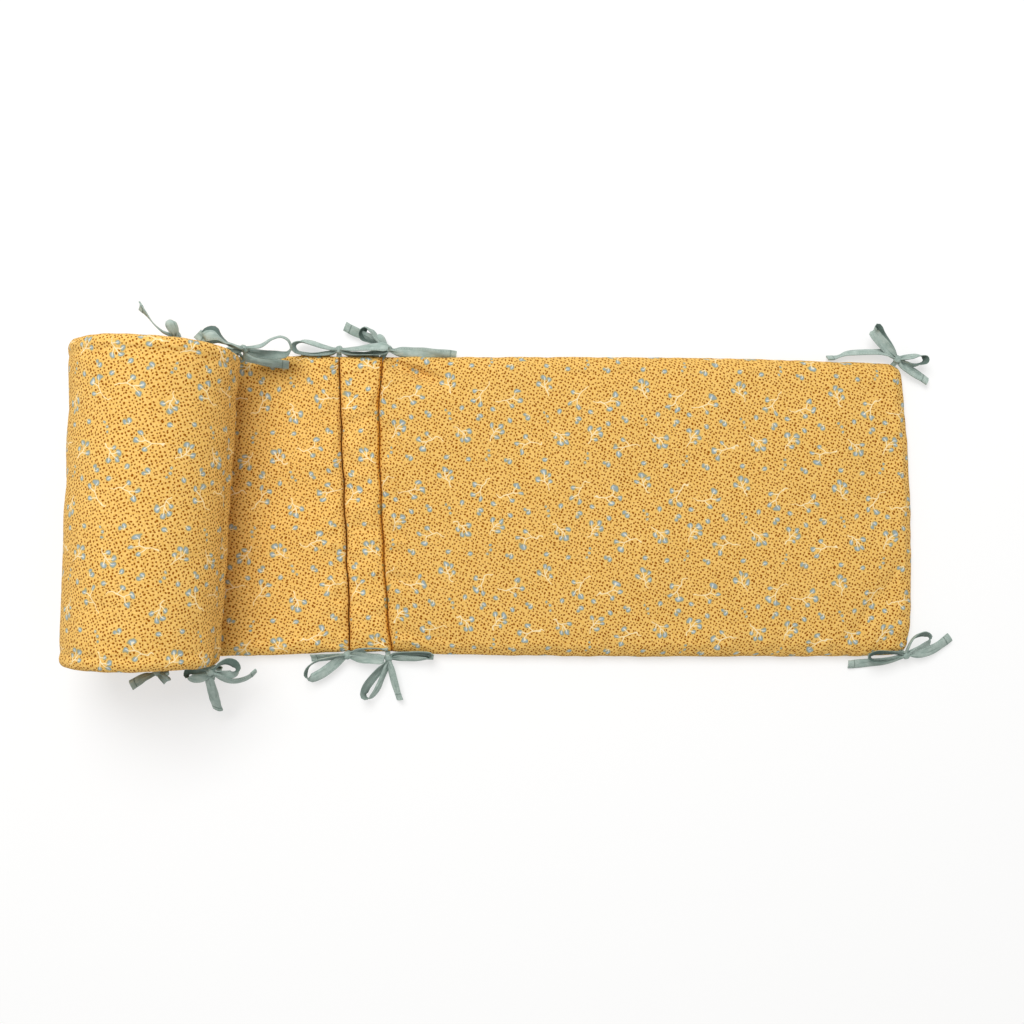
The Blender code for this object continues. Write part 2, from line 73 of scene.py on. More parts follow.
# The photo's camera: straight above, this far over the surface, and the picture's
# row and column of the origin. One pixel is one millimetre 10 mm over the surface.
CAMERA_UP = 1.26
PIXELS_PER_RADIAN = 1250.0
CENTRE_COLUMN, CENTRE_ROW = 512.0, 508.0

# share of the end panel's length, top edge, bottom edge
END_EDGES = np.array([
    (0.00, 0.1515, 0.1435), (0.03, 0.1512, 0.1447), (0.10, 0.1508, 0.1462), (0.25, 0.1510, 0.1475),
    (0.50, 0.1507, 0.1486), (0.75, 0.1488, 0.1484), (0.88, 0.1465, 0.1484), (1.00, 0.1445, 0.1470)])
# height, near seam, channel, outer edge
RUNGS = np.array([
    (-0.150, -0.1192, -0.1630, 0.3925), (-0.120, -0.1225, -0.1622, 0.3975), (-0.060, -0.1270, -0.1643, 0.3990),
    (0.000, -0.1302, -0.1668, 0.3984), (0.060, -0.1322, -0.1697, 0.3955), (0.110, -0.1322, -0.1712, 0.3915),
    (0.150, -0.1290, -0.1728, 0.3870)])
# run along the strip, top edge, bottom edge
STRIP_EDGES = np.array([
    (0.000, 0.1510, 0.1432), (0.020, 0.1516, 0.1436), (0.0425, 0.1516, 0.1432), (0.060, 0.1524, 0.1444),
    (0.120, 0.1512, 0.1474), (0.216, 0.1515, 0.1480), (0.330, 0.1570, 0.1481), (0.430, 0.1554, 0.1482),
    (0.480, 0.1520, 0.1484), (0.506, 0.1495, 0.1494), (0.519, 0.1480, 0.1498), (0.560, 0.1475, 0.1490), (0.800, 0.1500, 0.1470), (1.200, 0.1490, 0.1450)])


def smooth(t):
    t = np.clip(t, 0.0, 1.0)
    return t * t * (3.0 - 2.0 * t)


def soft_table(rows, column, at):
    """A table's column at positions in its first column, along a curve with no kinks."""
    x, y = rows[:, 0], rows[:, column]
    slope = np.gradient(y, x)
    at = np.clip(np.asarray(at, float), x[0], x[-1])
    k = np.clip(np.searchsorted(x, at, side="right") - 1, 0, len(x) - 2)
    h = x[k + 1] - x[k]
    t = (at - x[k]) / h
    a = 2 * t**3 - 3 * t**2 + 1
    b = t**3 - 2 * t**2 + t
    c = -2 * t**3 + 3 * t**2
    d = t**3 - t**2
    return a * y[k] + b * h * slope[k] + c * y[k + 1] + d * h * slope[k + 1]


def rounding(distance, reach, sharp=2.0):
    t = np.clip(distance / reach, 0.0, 1.0)
    return (1.0 - (1.0 - t) ** sharp) ** (1.0 / sharp)


def ripple(seed, at, wavelengths, amounts):
    """A wandering line: a few sine waves with seeded phases."""
    chance = np.random.RandomState(seed)
    total = np.zeros_like(np.asarray(at, float))
    for wave, amount in zip(wavelengths, amounts):
        for _ in range(2):
            w = wave * chance.uniform(0.8, 1.25)
            total = total + amount * np.sin(2 * math.pi * (at / w + chance.uniform()))
    return total


def noise2(seed, x, y, wave, amount):
    """Smooth unevenness over a surface, from a few plane waves with seeded headings."""
    chance = np.random.RandomState(seed)
    total = np.zeros_like(np.asarray(x, float))
    for _ in range(9):
        w = wave * chance.uniform(0.65, 1.5)
        turn = chance.uniform(0, 2 * math.pi)
        total = total + np.sin(
            2 * math.pi * ((x * math.cos(turn) + y * math.sin(turn)) / w + chance.uniform())
        )
    return total * amount / 3.0


# --------------------------------------------------------------------- the padding
def dent(x, y, at, size, depth, turn=0.0):
    """A soft hollow: an oval dip at a place."""
    c, s = math.cos(math.radians(turn)), math.sin(math.radians(turn))
    u, v = (x - at[0]) * c + (y - at[1]) * s, -(x - at[0]) * s + (y - at[1]) * c
    return depth * np.exp(-((u / size[0]) ** 2) - (v / size[1]) ** 2)


def end_panel_points(along, across, side):
    """The end panel's skin: along from its seam, across from the bottom, both arrays."""
    share = along / END_PANEL_LENGTH
    top = soft_table(END_EDGES, 1, share) + ripple(3, along, (0.055, 0.021), (0.00016, 0.00012))
    bottom = soft_table(END_EDGES, 2, share) + ripple(4, along, (0.060, 0.023), (0.00016, 0.00012))
    height = -bottom + across * (top + bottom)
    left = soft_table(RUNGS, 1, height) + GAP + ripple(5, height, (0.060, 0.025), (0.00022, 0.00006))
    right = soft_table(RUNGS, 3, height) + ripple(6, height, (0.050, 0.022), (0.00020, 0.00012))
    to_edge = np.maximum(np.minimum(top - height, height + bottom), 0.0)
    near = np.clip(PANEL_CORNER - to_edge, 0.0, PANEL_CORNER)
    right = right - (PANEL_CORNER - np.sqrt(PANEL_CORNER**2 - near**2))
    x = left + share * (right - left)
    from_seam = rounding(along, CHANNEL_ROUND, 2.2)
    if side > 0:
        from_seam = SEAM_FLOOR + (1 - SEAM_FLOOR) * from_seam
    depth = rounding(to_edge, EDGE_ROUND) * from_seam
    depth = depth * rounding(END_PANEL_LENGTH - along, EDGE_ROUND)
    half = 0.5 * np.maximum(PAD * depth, SEAM)
    z = PAD / 2 + side * half
    if side > 0:
        inner = smooth(4 * share * (1 - share)) * smooth(4 * across * (1 - across))
        z = z + CROWN * inner
        lift = smooth(to_edge / 0.012) * smooth(along / 0.012) * smooth((END_PANEL_LENGTH - along) / 0.012)
        z = z + lift * noise2(11, x, height, 0.085, 0.0006)
        # Gathers that run in from the seams, strongest where the stitching pulls.
        from_seam = np.exp(-((along - 0.006) / 0.016) ** 2)
        z = z + lift * from_seam * ripple(12, height, (0.028, 0.017), (0.0006, 0.0004))
        from_edge = np.exp(-((to_edge - 0.006) / 0.011) ** 2)
        z = z + lift * from_edge * ripple(13, along + 0.3 * np.sign(height - 0.0), (0.030, 0.017), (0.0005, 0.0004))
        from_end = np.exp(-((END_PANEL_LENGTH - along - 0.006) / 0.012) ** 2)
        z = z + lift * from_end * ripple(14, height, (0.034, 0.019), (0.0005, 0.0003))
        # The hollow that the ties' knots pull into the top left corner.
        z = z - dent(x, height, (-0.098, 0.1365), (0.028, 0.0062), 0.0120, -21)
        z = z - dent(x, height, (-0.1160, 0.1440), (0.004, 0.010), 0.0035, 12)
        z = z + dent(x, height, (-0.106, 0.1395), (0.005, 0.006), 0.0012, 20)
    return np.stack([x, height, z], -1)


def run_at(turn):
    radius = ROLL_RADIUS * turn - ROLL_PITCH * turn * turn / (4 * math.pi)
    return radius * math.sqrt((1 + ROLL_SQUASH**2) / 2)


ROLL_START = CORNER_WIDTH + FLAT_RUN
FAR_CHANNEL = ROLL_START + run_at(math.radians(MIDDLE_TURN))
FAR_SEAM = FAR_CHANNEL + CORNER_WIDTH
STRIP_END = FAR_SEAM + END_PANEL_LENGTH
TURN_TABLE = np.linspace(0, 16.0, 4000)
RUN_TABLE = run_at(TURN_TABLE)


def strip_points(run, across, side):
    """The strip's skin: run along it, across from the bottom, both arrays."""
    run, across = np.asarray(run, float), np.asarray(across, float)
    top = soft_table(STRIP_EDGES, 1, run) + ripple(23, run, (0.060, 0.024), (0.00018, 0.00013))
    bottom = soft_table(STRIP_EDGES, 2, run) + ripple(24, run, (0.055, 0.022), (0.00018, 0.00013))
    height = -bottom + across * (top + bottom)
    to_edge = np.maximum(np.minimum(top - height, height + bottom), 0.0)
    depth = rounding(run, CHANNEL_ROUND * 1.2, 1.9)
    if side > 0:
        depth = STRIP_SEAM_FLOOR + (1 - STRIP_SEAM_FLOOR) * depth
    for seam in (CORNER_WIDTH, FAR_CHANNEL):
        # The wider piece beside a channel slopes down to it more slowly.
        away = rounding(np.abs(run - seam), np.where(run > seam, CHANNEL_ROUND * 1.5, CHANNEL_ROUND), np.where(run > seam, 1.9, 2.4))
        floor = CHANNEL_FLOOR if side > 0 and seam == CORNER_WIDTH else 0.45
        depth = np.minimum(depth, floor + (1 - floor) * away)
    depth = np.minimum(depth, rounding(np.abs(FAR_SEAM - run), CHANNEL_ROUND))
    rolled = smooth((run - ROLL_START) / 0.06)
    reach = EDGE_ROUND + (ROLL_EDGE_ROUND - EDGE_ROUND) * rolled
    depth = depth * rounding(to_edge, reach) * rounding(STRIP_END - run, CHANNEL_ROUND)
    half = 0.5 * np.maximum(PAD * depth, SEAM)
    turn = np.interp(run - ROLL_START, RUN_TABLE, TURN_TABLE)
    radius = ROLL_RADIUS - ROLL_PITCH * turn / (2 * math.pi)
    offset = -radius * np.sin(turn)
    z = ROLL_SQUASH * (ROLL_RADIUS - radius * np.cos(turn)) + PAD / 2
    way_x, way_z = -np.cos(turn), ROLL_SQUASH * np.sin(turn)
    long = np.sqrt(way_x**2 + way_z**2)
    out_x, out_z = way_z / long, -way_x / long
    flat = run <= ROLL_START
    ease = smooth((run - (ROLL_START - ROLL_EASE)) / ROLL_EASE)
    flare = smooth((height - 0.085) / 0.05)
    scale = 1 + (ROLL_TAPER * height + 0.010 * flare) * ease
    stand = ROLL_X + ROLL_TILT * height - 0.0009 * flare
    near = soft_table(RUNGS, 1, height) + ripple(5, height, (0.060, 0.025), (0.00022, 0.00006))
    channel = soft_table(RUNGS, 2, height) + ripple(7, height, (0.060, 0.024), (0.00035, 0.00012))
    x_corner = near + (channel - near) * run / CORNER_WIDTH
    x_flat = channel + (stand - channel) * (run - CORNER_WIDTH) / FLAT_RUN
    x_low = np.where(run < CORNER_WIDTH, x_corner, x_flat)
    x_roll = stand + (offset + side * half * out_x) * scale
    z_low = (PAD / 2 + side * half) * scale
    z_roll = (z + side * half * out_z) * scale
    lift = smooth(to_edge / 0.012)
    for seam in (0.0, CORNER_WIDTH, FAR_CHANNEL, FAR_SEAM):
        lift = lift * smooth(np.abs(run - seam) / 0.010)
    swell = np.zeros_like(z)
    for i, seam in enumerate((0.0, CORNER_WIDTH, FAR_CHANNEL)):
        from_seam = np.exp(-((np.abs(run - seam) - 0.006) / 0.013) ** 2)
        swell = swell + from_seam * ripple(31 + i, height + 0.21 * np.sign(run - seam), (0.030, 0.018), (0.0006, 0.0004))
    from_edge = np.exp(-((to_edge - 0.006) / 0.011) ** 2)
    swell = swell + from_edge * ripple(35, run + 0.3 * np.sign(height), (0.032, 0.018), (0.0005, 0.0004))
    swell = swell + noise2(36, run, height, 0.085, 0.0006)
    swell = swell * (1 - 0.45 * rolled)
    if side > 0:
        crown = CROWN * 0.6 * smooth(4 * across * (1 - across)) * smooth((ROLL_START - run) / 0.08)
        z_low = z_low + crown * smooth(np.abs(run - CORNER_WIDTH) / 0.03) + lift * swell
        x, z_out = np.where(flat, x_low, x_roll), np.where(flat, z_low, z_roll)
    else:
        outer = lift * swell * smooth((run - ROLL_START - 0.02) / 0.04)
        x = np.where(flat, x_low, x_roll - out_x * outer)
        z_out = np.where(flat, z_low, z_roll - out_z * outer)
    return np.stack([x, height, z_out], -1)


def stations(marks, coarse, fine=0.0012, reach=0.015, finest=None):
    """Stations from the first mark to the last: fine near each mark, coarse between."""
    found = [marks[0]]
    for low, high in zip(marks, marks[1:]):
        while found[-1] < high - 1e-7:
            near = min(found[-1] - low, high - found[-1])
            step = finest if finest and near < 4 * finest else fine if near < reach else coarse
            past = high - found[-1]
            for limit, smaller in ((reach, fine), (4 * finest if finest else 0, finest)):
                if smaller and past > limit and past - step < limit:
                    step = past - limit
            found.append(min(found[-1] + max(step, 1e-4), high))
            if high - found[-1] < 0.3 * (finest or fine):
                found[-1] = high
    return np.array(found)


# ---------------------------------------------------------------------- simulation
def puff(points, pinned, growth=-0.016, pressure=1.2, frames=20, cap=0.0025):
    """Cloth pass over one skin: a grid of points, held where pinned, puffed from inside.

    Returns how far each point moved, no more than the cap."""
    n, m = points.shape[:2]
    mesh = bpy.data.meshes.new("skin")
    index = np.arange(n * m).reshape(n, m)
    faces = np.stack([index[:-1, :-1], index[1:, :-1], index[1:, 1:], index[:-1, 1:]], -1).reshape(-1, 4)
    mesh.from_pydata(points.reshape(-1, 3).tolist(), [], faces.tolist())
    skin = bpy.data.objects.new("skin", mesh)
    bpy.context.scene.collection.objects.link(skin)
    group = skin.vertex_groups.new(name="pin")
    group.add(np.flatnonzero(pinned.reshape(-1)).tolist(), 1.0, "REPLACE")
    cloth = skin.modifiers.new("cloth", "CLOTH")
    how = cloth.settings
    how.quality = 4
    how.mass = 0.02
    how.tension_stiffness = how.compression_stiffness = 12
    how.shear_stiffness = 4
    how.bending_stiffness = 0.4
    how.air_damping = 6
    how.effector_weights.gravity = 0.0
    how.vertex_group_mass = "pin"
    how.use_pressure = True
    how.uniform_pressure_force = pressure
    how.shrink_min = growth
    cloth.collision_settings.use_collision = False
    cloth.point_cache.frame_start, cloth.point_cache.frame_end = 1, frames
    for step in range(1, frames + 1):
        bpy.context.scene.frame_set(step)
    graph = bpy.context.evaluated_depsgraph_get()
    moved = np.zeros(n * m * 3)
    skin.evaluated_get(graph).data.vertices.foreach_get("co", moved)
    moved = moved.reshape(n, m, 3) - points
    bpy.data.objects.remove(skin, do_unlink=True)
    bpy.context.scene.frame_set(1)
    far = np.linalg.norm(moved, axis=-1, keepdims=True)
    moved = moved * np.minimum(1.0, cap * np.tanh(far / cap) / np.maximum(far, 1e-9))
    return moved


def spread(moved, rows, columns, fine_rows, fine_columns):
    """Moves found on a coarse grid, read at a finer grid's stations."""
    between = np.stack([
        np.stack([np.interp(fine_columns, columns, moved[i, :, k]) for i in range(len(rows))]) for k in range(3)], -1)
    return np.stack([
        np.stack([np.interp(fine_rows, rows, between[:, j, k]) for j in range(len(fine_columns))], 1) for k in range(3)], -1)


# -------------------------------------------------------------------------- meshes
def laid_flat(skin, direction=1.0):
    """Cloth coordinates of a skin: arc lengths along its middle line and across from it."""
    middle = skin.shape[1] // 2
    along_it = np.concatenate([[0.0], np.cumsum(np.linalg.norm(np.diff(skin[:, middle], axis=0), axis=-1))])
    across_it = np.zeros(skin.shape[:2])
    across_it[:, 1:] = np.cumsum(np.linalg.norm(np.diff(skin, axis=1), axis=-1), axis=1)
    across_it -= across_it[:, middle : middle + 1]
    return np.stack([np.broadcast_to(direction * along_it[:, None], across_it.shape), across_it], -1)


def sheet_mesh(name, upper, lower, seam, direction=1.0):
    """A closed pad from two skins that share their grid, with flat cloth coordinates."""
    uv_upper, uv_lower = laid_flat(upper, direction), laid_flat(lower, direction)
    n, m = upper.shape[:2]
    points = np.concatenate([upper.reshape(-1, 3), lower.reshape(-1, 3)])
    up = np.arange(n * m).reshape(n, m)
    low = up + n * m
    faces = [
        np.stack([up[:-1, :-1], up[1:, :-1], up[1:, 1:], up[:-1, 1:]], -1).reshape(-1, 4),
        np.stack([low[:-1, :-1], low[:-1, 1:], low[1:, 1:], low[1:, :-1]], -1).reshape(-1, 4),
        np.stack([up[0, :-1], up[0, 1:], low[0, 1:], low[0, :-1]], -1),
        np.stack([up[-1, 1:], up[-1, :-1], low[-1, :-1], low[-1, 1:]], -1),
        np.stack([up[1:, 0], up[:-1, 0], low[:-1, 0], low[1:, 0]], -1),
        np.stack([up[:-1, -1], up[1:, -1], low[1:, -1], low[:-1, -1]], -1),
    ]
    faces = np.concatenate(faces)
    mesh = bpy.data.meshes.new(name)
    mesh.from_pydata(points.tolist(), [], faces.tolist())
    flat = np.concatenate([uv_upper.reshape(-1, 2), uv_lower.reshape(-1, 2)])
    layer = mesh.uv_layers.new(name="cloth_flat")
    loops = np.zeros(len(mesh.loops), int)
    mesh.loops.foreach_get("vertex_index", loops)
    laid = flat[loops]
    # Round the sewn edges the upper cover's cloth runs on by the edge's own height.
    start = 8 * (n - 1) * (m - 1)
    for count, shift in ((m - 1, (-direction, 0)), (m - 1, (direction, 0)), (n - 1, (0, -1)), (n - 1, (0, 1))):
        end = start + 4 * count
        below = loops[start:end] >= n * m
        turned = flat[loops[start:end] - n * m * below] + below[:, None] * SEAM * np.array(shift)
        laid[start:end] = turned
        start = end
    layer.data.foreach_set("uv", laid.reshape(-1))
    # The seam attribute holds painted shade along the sewn grooves.
    painted_shade_and_hem = mesh.attributes.new("seam", "FLOAT", "POINT")
    painted_shade_and_hem.data.foreach_set("value", np.concatenate([seam.reshape(-1)] * 2).astype(np.float32))
    work = bmesh.new()
    work.from_mesh(mesh)
    if work.calc_volume(signed=True) < 0:
        bmesh.ops.reverse_faces(work, faces=work.faces[:])
    work.to_mesh(mesh)
    work.free()
    mesh.shade_smooth()
    return mesh


def piece(name, mesh, material):
    made = bpy.data.objects.new(name, mesh)
    bpy.context.scene.collection.objects.link(made)
    mesh.materials.append(material)
    return made


# ----------------------------------------------------------------------- materials
class Nodes:
    """Short ways to lay out a material's nodes."""

    def __init__(self, name):
        self.material = bpy.data.materials.new(name)
        self.material.use_nodes = True
        self.tree = self.material.node_tree
        self.shader = self.tree.nodes["Principled BSDF"]

    def link(self, value, socket):
        if isinstance(value, bpy.types.NodeSocket):
            self.tree.links.new(value, socket)
        elif value is not None:
            socket.default_value = value

    def math(self, how, a, b=None, c=None, clamp=False):
        node = self.tree.nodes.new("ShaderNodeMath")
        node.operation, node.use_clamp = how, clamp
        for value, socket in zip((a, b, c), node.inputs):
            self.link(value, socket)
        return node.outputs[0]

    def vector(self, how, a, b=None, c=None, scale=None):
        node = self.tree.nodes.new("ShaderNodeVectorMath")
        node.operation = how
        for value, socket in zip((a, b, c), node.inputs):
            self.link(value, socket)
        if scale is not None:
            self.link(scale, node.inputs["Scale"])
        return node.outputs["Value"] if how in ("DOT_PRODUCT", "LENGTH", "DISTANCE") else node.outputs["Vector"]

    def split(self, vector):
        node = self.tree.nodes.new("ShaderNodeSeparateXYZ")
        self.link(vector, node.inputs[0])
        return node.outputs

    def join(self, x, y, z=0.0):
        node = self.tree.nodes.new("ShaderNodeCombineXYZ")
        for value, socket in zip((x, y, z), node.inputs):
            self.link(value, socket)
        return node.outputs[0]

    def step(self, value, low, high, to_low=0.0, to_high=1.0):
        """Smoothly from one number to another as the value goes from low to high."""
        node = self.tree.nodes.new("ShaderNodeMapRange")
        node.interpolation_type = "SMOOTHSTEP"
        for item, socket in zip((value, low, high, to_low, to_high), node.inputs):
            self.link(item, socket)
        return node.outputs[0]

    def mix(self, share, a, b, how="MIX"):
        node = self.tree.nodes.new("ShaderNodeMix")
        node.data_type, node.blend_type = "RGBA", how
        self.link(share, node.inputs[0])
        self.link(a, node.inputs[6])
        self.link(b, node.inputs[7])
        return node.outputs[2]

    def noise(self, vector, scale, detail=2.0, rough=0.5, dims="3D"):
        node = self.tree.nodes.new("ShaderNodeTexNoise")
        node.noise_dimensions = dims
        self.link(vector, node.inputs["Vector"])
        node.inputs["Scale"].default_value = scale
        node.inputs["Detail"].default_value = detail
        node.inputs["Roughness"].default_value = rough
        return node.outputs

    def segment(self, p, a, b):
        """Distance from p to the line between two points, and how far along it is."""
        ab = (b[0] - a[0], b[1] - a[1], 0.0)
        square = ab[0] ** 2 + ab[1] ** 2
        from_a = self.vector("SUBTRACT", p, (a[0], a[1], 0.0))
        along = self.math("MULTIPLY", self.vector("DOT_PRODUCT", from_a, ab), 1 / square, clamp=True)
        return self.vector("LENGTH", self.vector("SUBTRACT", from_a, self.vector("SCALE", ab, scale=along)))

    def least(self, values):
        first = values[0]
        for other in values[1:]:
            first = self.math("MINIMUM", first, other)
        return first


def linear(r, g, b):
    """Linear colour from 0 to 255 display values."""
    return tuple((c / 12.92 if c <= 0.04045 else ((c + 0.055) / 1.055) ** 2.4) for c in (r / 255, g / 255, b / 255)) + (1.0,)


GROUND = linear(245, 196, 106)
DOT = linear(150, 82, 0)
STEM = linear(255, 238, 196)
BERRY = linear(156, 171, 172)
BERRY_RIM = linear(150, 152, 116)
BERRY_LIGHT = linear(214, 222, 222)
REPEAT = (98.0, 94.0)  # millimetres
# One repeat of the print, in millimetres and degrees. Sprigs of kind 0 are long and
# open, those of kind 1 short and full.
SPRIGS = [
    # x, y, turn, kind
    (10.0, 13.0, 35.0, 0), (44.0, 3.0, 160.0, 1), (78.0, 18.0, 258.0, 0),
    (27.0, 53.0, 310.0, 1), (61.0, 61.0, 75.0, 0), (93.0, 50.0, 215.0, 1)]
# Kind 0 is one bud on a stalk, kind 1 a forked pair, kind 2 three small berries in a row.
BUDS = [
    # x, y, turn, kind
    (28.0, 28.0, 200.0, 0), (60.0, 36.0, 40.0, 1), (95.0, 28.0, 120.0, 0), (9.0, 35.0, 300.0, 1),
    (43.0, 77.0, 80.0, 0), (78.0, 80.0, 20.0, 1), (21.0, 79.0, 250.0, 0), (78.0, 39.0, 330.0, 0),
    (41.0, 34.0, 65.0, 2), (1.0, 74.0, 110.0, 2)]


def nearest(n, p, table):
    """The place and turn, seen from the nearest motif of a table, and that motif's kind."""
    half = (REPEAT[0] / 2, REPEAT[1] / 2, 1.0)
    best = least = None
    for x, y, turn, kind in table:
        away = n.vector("SUBTRACT", p, (x, y, 0.0))
        away = n.vector("WRAP", away, half, tuple(-v for v in half))
        far = n.vector("LENGTH", away)
        tagged = n.vector("ADD", away, (0.0, 0.0, math.radians(turn) + 10.0 * kind))
        if best is None:
            best, least = tagged, far
        else:
            node = n.tree.nodes.new("ShaderNodeMix")
            node.data_type = "VECTOR"
            n.link(n.math("LESS_THAN", far, least), node.inputs[0])
            n.link(best, node.inputs[4])
            n.link(tagged, node.inputs[5])
            best, least = node.outputs[1], n.math("MINIMUM", far, least)
    x, y, tag = n.split(best)
    kind = n.math("FLOOR", n.math("MULTIPLY", tag, 0.1))
    turn = n.tree.nodes.new("ShaderNodeVectorRotate")
    turn.rotation_type = "Z_AXIS"
    n.link(n.join(x, y), turn.inputs["Vector"])
    n.link(n.math("MULTIPLY_ADD", kind, -10.0, tag), turn.inputs["Angle"])
    return turn.outputs[0], kind


def sprig(n, q, stems, berries, bend):
    """Distances to a sprig's stems, to its berries' rims and to the pale strokes in them."""
    x, y, _ = n.split(q)
    bent = n.join(n.math("MULTIPLY_ADD", n.math("MULTIPLY", y, y), bend, x), y)
    stem = n.least([n.segment(bent, a, b) for a, b in stems])
    rims, lights = [], []
    for (bx, by), radius, (sx, sy) in berries:
        away = n.vector("SUBTRACT", q, (bx - bend * by * by, by, 0.0))
        rims.append(n.math("SUBTRACT", n.vector("LENGTH", n.vector("MULTIPLY", away, (1.0, 0.92, 1.0))), radius))
        lights.append(n.segment(away, (-sx, -sy), (sx * 0.5, sy * 0.5)))
    return stem, n.least(rims), n.least(lights)


def print_material(name, angle, offset, half_turn, tone=0.95):
    """Cotton with an all-over print: small dots, and sprigs of berries on pale stems."""
    n = Nodes(name)
    uv = n.tree.nodes.new("ShaderNodeUVMap")
    uv.uv_map = "cloth_flat"
    flat = n.vector("SCALE", uv.outputs[0], scale=1000.0)
    turn = n.tree.nodes.new("ShaderNodeVectorRotate")
    turn.rotation_type = "Z_AXIS"
    n.link(flat, turn.inputs["Vector"])
    turn.inputs["Angle"].default_value = math.radians(angle + (180.0 if half_turn else 0.0))
    p = n.vector("ADD", turn.outputs[0], (offset[0], offset[1], 0.0))
    # The hand of the drawing: lines wander a little.
    wander = n.noise(p, 0.11, 1.0, 0.5, "2D")["Color"]
    wander = n.vector("SUBTRACT", wander, (0.5, 0.5, 0.5))
    drawn = n.vector("ADD", p, n.vector("SCALE", wander, scale=0.85))

    # Sprigs: the open kind and the full kind
    q, kind = nearest(n, drawn, SPRIGS)
    q = n.vector("SCALE", q, scale=0.88)
    open_stem, open_rim, open_light = sprig(
        n, q,
        [((1.0, -12.5), (0.2, -3.2)), ((0.2, -3.2), (-0.8, 2.4)), ((-0.8, 2.4), (-5.0, 6.6)),
         ((-0.8, 2.4), (3.0, 8.6)), ((0.2, -3.2), (5.6, 0.4))],
        [((-5.4, 7.0), 2.5, (-0.9, 0.8)), ((3.2, 9.0), 2.25, (0.5, 0.9)), ((6.0, 0.7), 2.1, (0.8, 0.5))], 0.020)
    full_stem, full_rim, full_light = sprig(
        n, q,
        [((-0.6, -9.6), (0.0, 0.6)), ((0.0, 0.6), (0.8, 6.0)), ((0.0, -2.4), (-4.6, 2.6)), ((0.0, 0.0), (4.6, 3.2)),
         ((-0.2, -5.2), (3.8, -2.8))],
        [((0.9, 6.8), 2.4, (0.3, 1.0)), ((-5.1, 2.9), 2.3, (-0.9, 0.7)), ((5.2, 3.4), 2.15, (0.9, 0.5)),
         ((4.4, -2.8), 1.9, (0.8, 0.3))], -0.015)
    other = n.math("MULTIPLY", kind, 40.0)
    own = n.math("SUBTRACT", 40.0, other)
    stem = n.math("MINIMUM", n.math("ADD", open_stem, other), n.math("ADD", full_stem, own))
    rim = n.math("MINIMUM", n.math("ADD", open_rim, other), n.math("ADD", full_rim, own))
    light = n.math("MINIMUM", n.math("ADD", open_light, other), n.math("ADD", full_light, own))

    # Between them, single buds, forked pairs and small berries three in a row
    b, kind = nearest(n, drawn, BUDS)
    not_row = n.math("MULTIPLY", n.math("GREATER_THAN", kind, 1.5), 40.0)
    not_bud = n.math("SUBTRACT", 40.0, not_row)
    not_pair = n.math("MULTIPLY", n.math("LESS_THAN", kind, 0.5), 40.0)
    bud_rim = n.math("SUBTRACT", n.vector("LENGTH", n.vector("MULTIPLY", b, (1.0, 0.88, 1.0))), 2.35)
    bud_light = n.segment(b, (0.3, 0.8), (-0.2, -1.0))
    bud_stem = n.segment(b, (-0.2, -0.8), (0.9, -3.2))
    twin_rim = n.math("ADD", n.math("SUBTRACT", n.vector("DISTANCE", b, (4.3, -0.4, 0.0)), 2.0), not_pair)
    twin_stem = n.math("ADD", n.segment(b, (0.9, -3.2), (3.8, -1.2)), not_pair)
    row_rim = n.least([
        n.math("SUBTRACT", n.vector("DISTANCE", b, (-4.8, 0.7, 0.0)), 1.45),
        n.math("SUBTRACT", n.vector("DISTANCE", b, (0.1, -0.6, 0.0)), 1.6),
        n.math("SUBTRACT", n.vector("DISTANCE", b, (4.6, 1.0, 0.0)), 1.35)])
    row_stem = n.least([n.segment(b, (-5.6, 1.6), (-4.6, 0.4)), n.segment(b, (-0.8, 0.4), (0.3, -0.9))])

    all_rims = n.least([
        rim, n.math("ADD", n.math("MINIMUM", bud_rim, twin_rim), not_row), n.math("ADD", row_rim, not_bud)])
    all_lights = n.least([light, n.math("ADD", bud_light, not_row), n.math("ADD", row_rim, n.math("ADD", not_bud, 2.0))])
    all_stems = n.least([
        stem, n.math("ADD", n.math("MINIMUM", bud_stem, twin_stem), not_row),
        n.math("ADD", n.math("ADD", row_stem, not_bud), 0.12)])
    rough = n.noise(p, 1.1, 2.0, 0.6, "2D")[0]
    all_rims = n.math("ADD", all_rims, n.math("MULTIPLY_ADD", rough, 0.6, -0.3))
    rim_mask = n.step(all_rims, 0.35, -0.15, 0.0, 1.0)
    berry_mask = n.step(all_rims, -0.25, -0.75, 0.0, 1.0)
    light_mask = n.step(all_lights, 0.90, 0.25, 0.0, 0.8)
    stem_mask = n.step(all_stems, 0.50, 0.20, 0.0, 1.0)

    # Dots, kept clear of the berries and stems
    dots = n.tree.nodes.new("ShaderNodeTexVoronoi")
    dots.voronoi_dimensions, dots.feature = "2D", "F1"
    askew = n.tree.nodes.new("ShaderNodeVectorRotate")
    askew.rotation_type = "Z_AXIS"
    n.link(n.vector("ADD", p, n.vector("SCALE", wander, scale=3.6)), askew.inputs["Vector"])
    askew.inputs["Angle"].default_value = math.radians(27.0)
    n.link(askew.outputs[0], dots.inputs["Vector"])
    dots.inputs["Scale"].default_value = 1 / 3.36
    dots.inputs["Randomness"].default_value = 0.50
    size = n.math("MULTIPLY_ADD", n.split(dots.outputs["Color"])[0], 0.22, 0.79)
    gap = n.math("SUBTRACT", n.math("MULTIPLY", dots.outputs["Distance"], 3.36), size)
    dot_mask = n.step(gap, 0.14, -0.16, 0.0, 1.0)
    clear = n.math("MULTIPLY", n.step(all_rims, 0.35, 0.75), n.step(all_stems, 0.6, 0.95))
    dot_mask = n.math("MULTIPLY", dot_mask, clear)

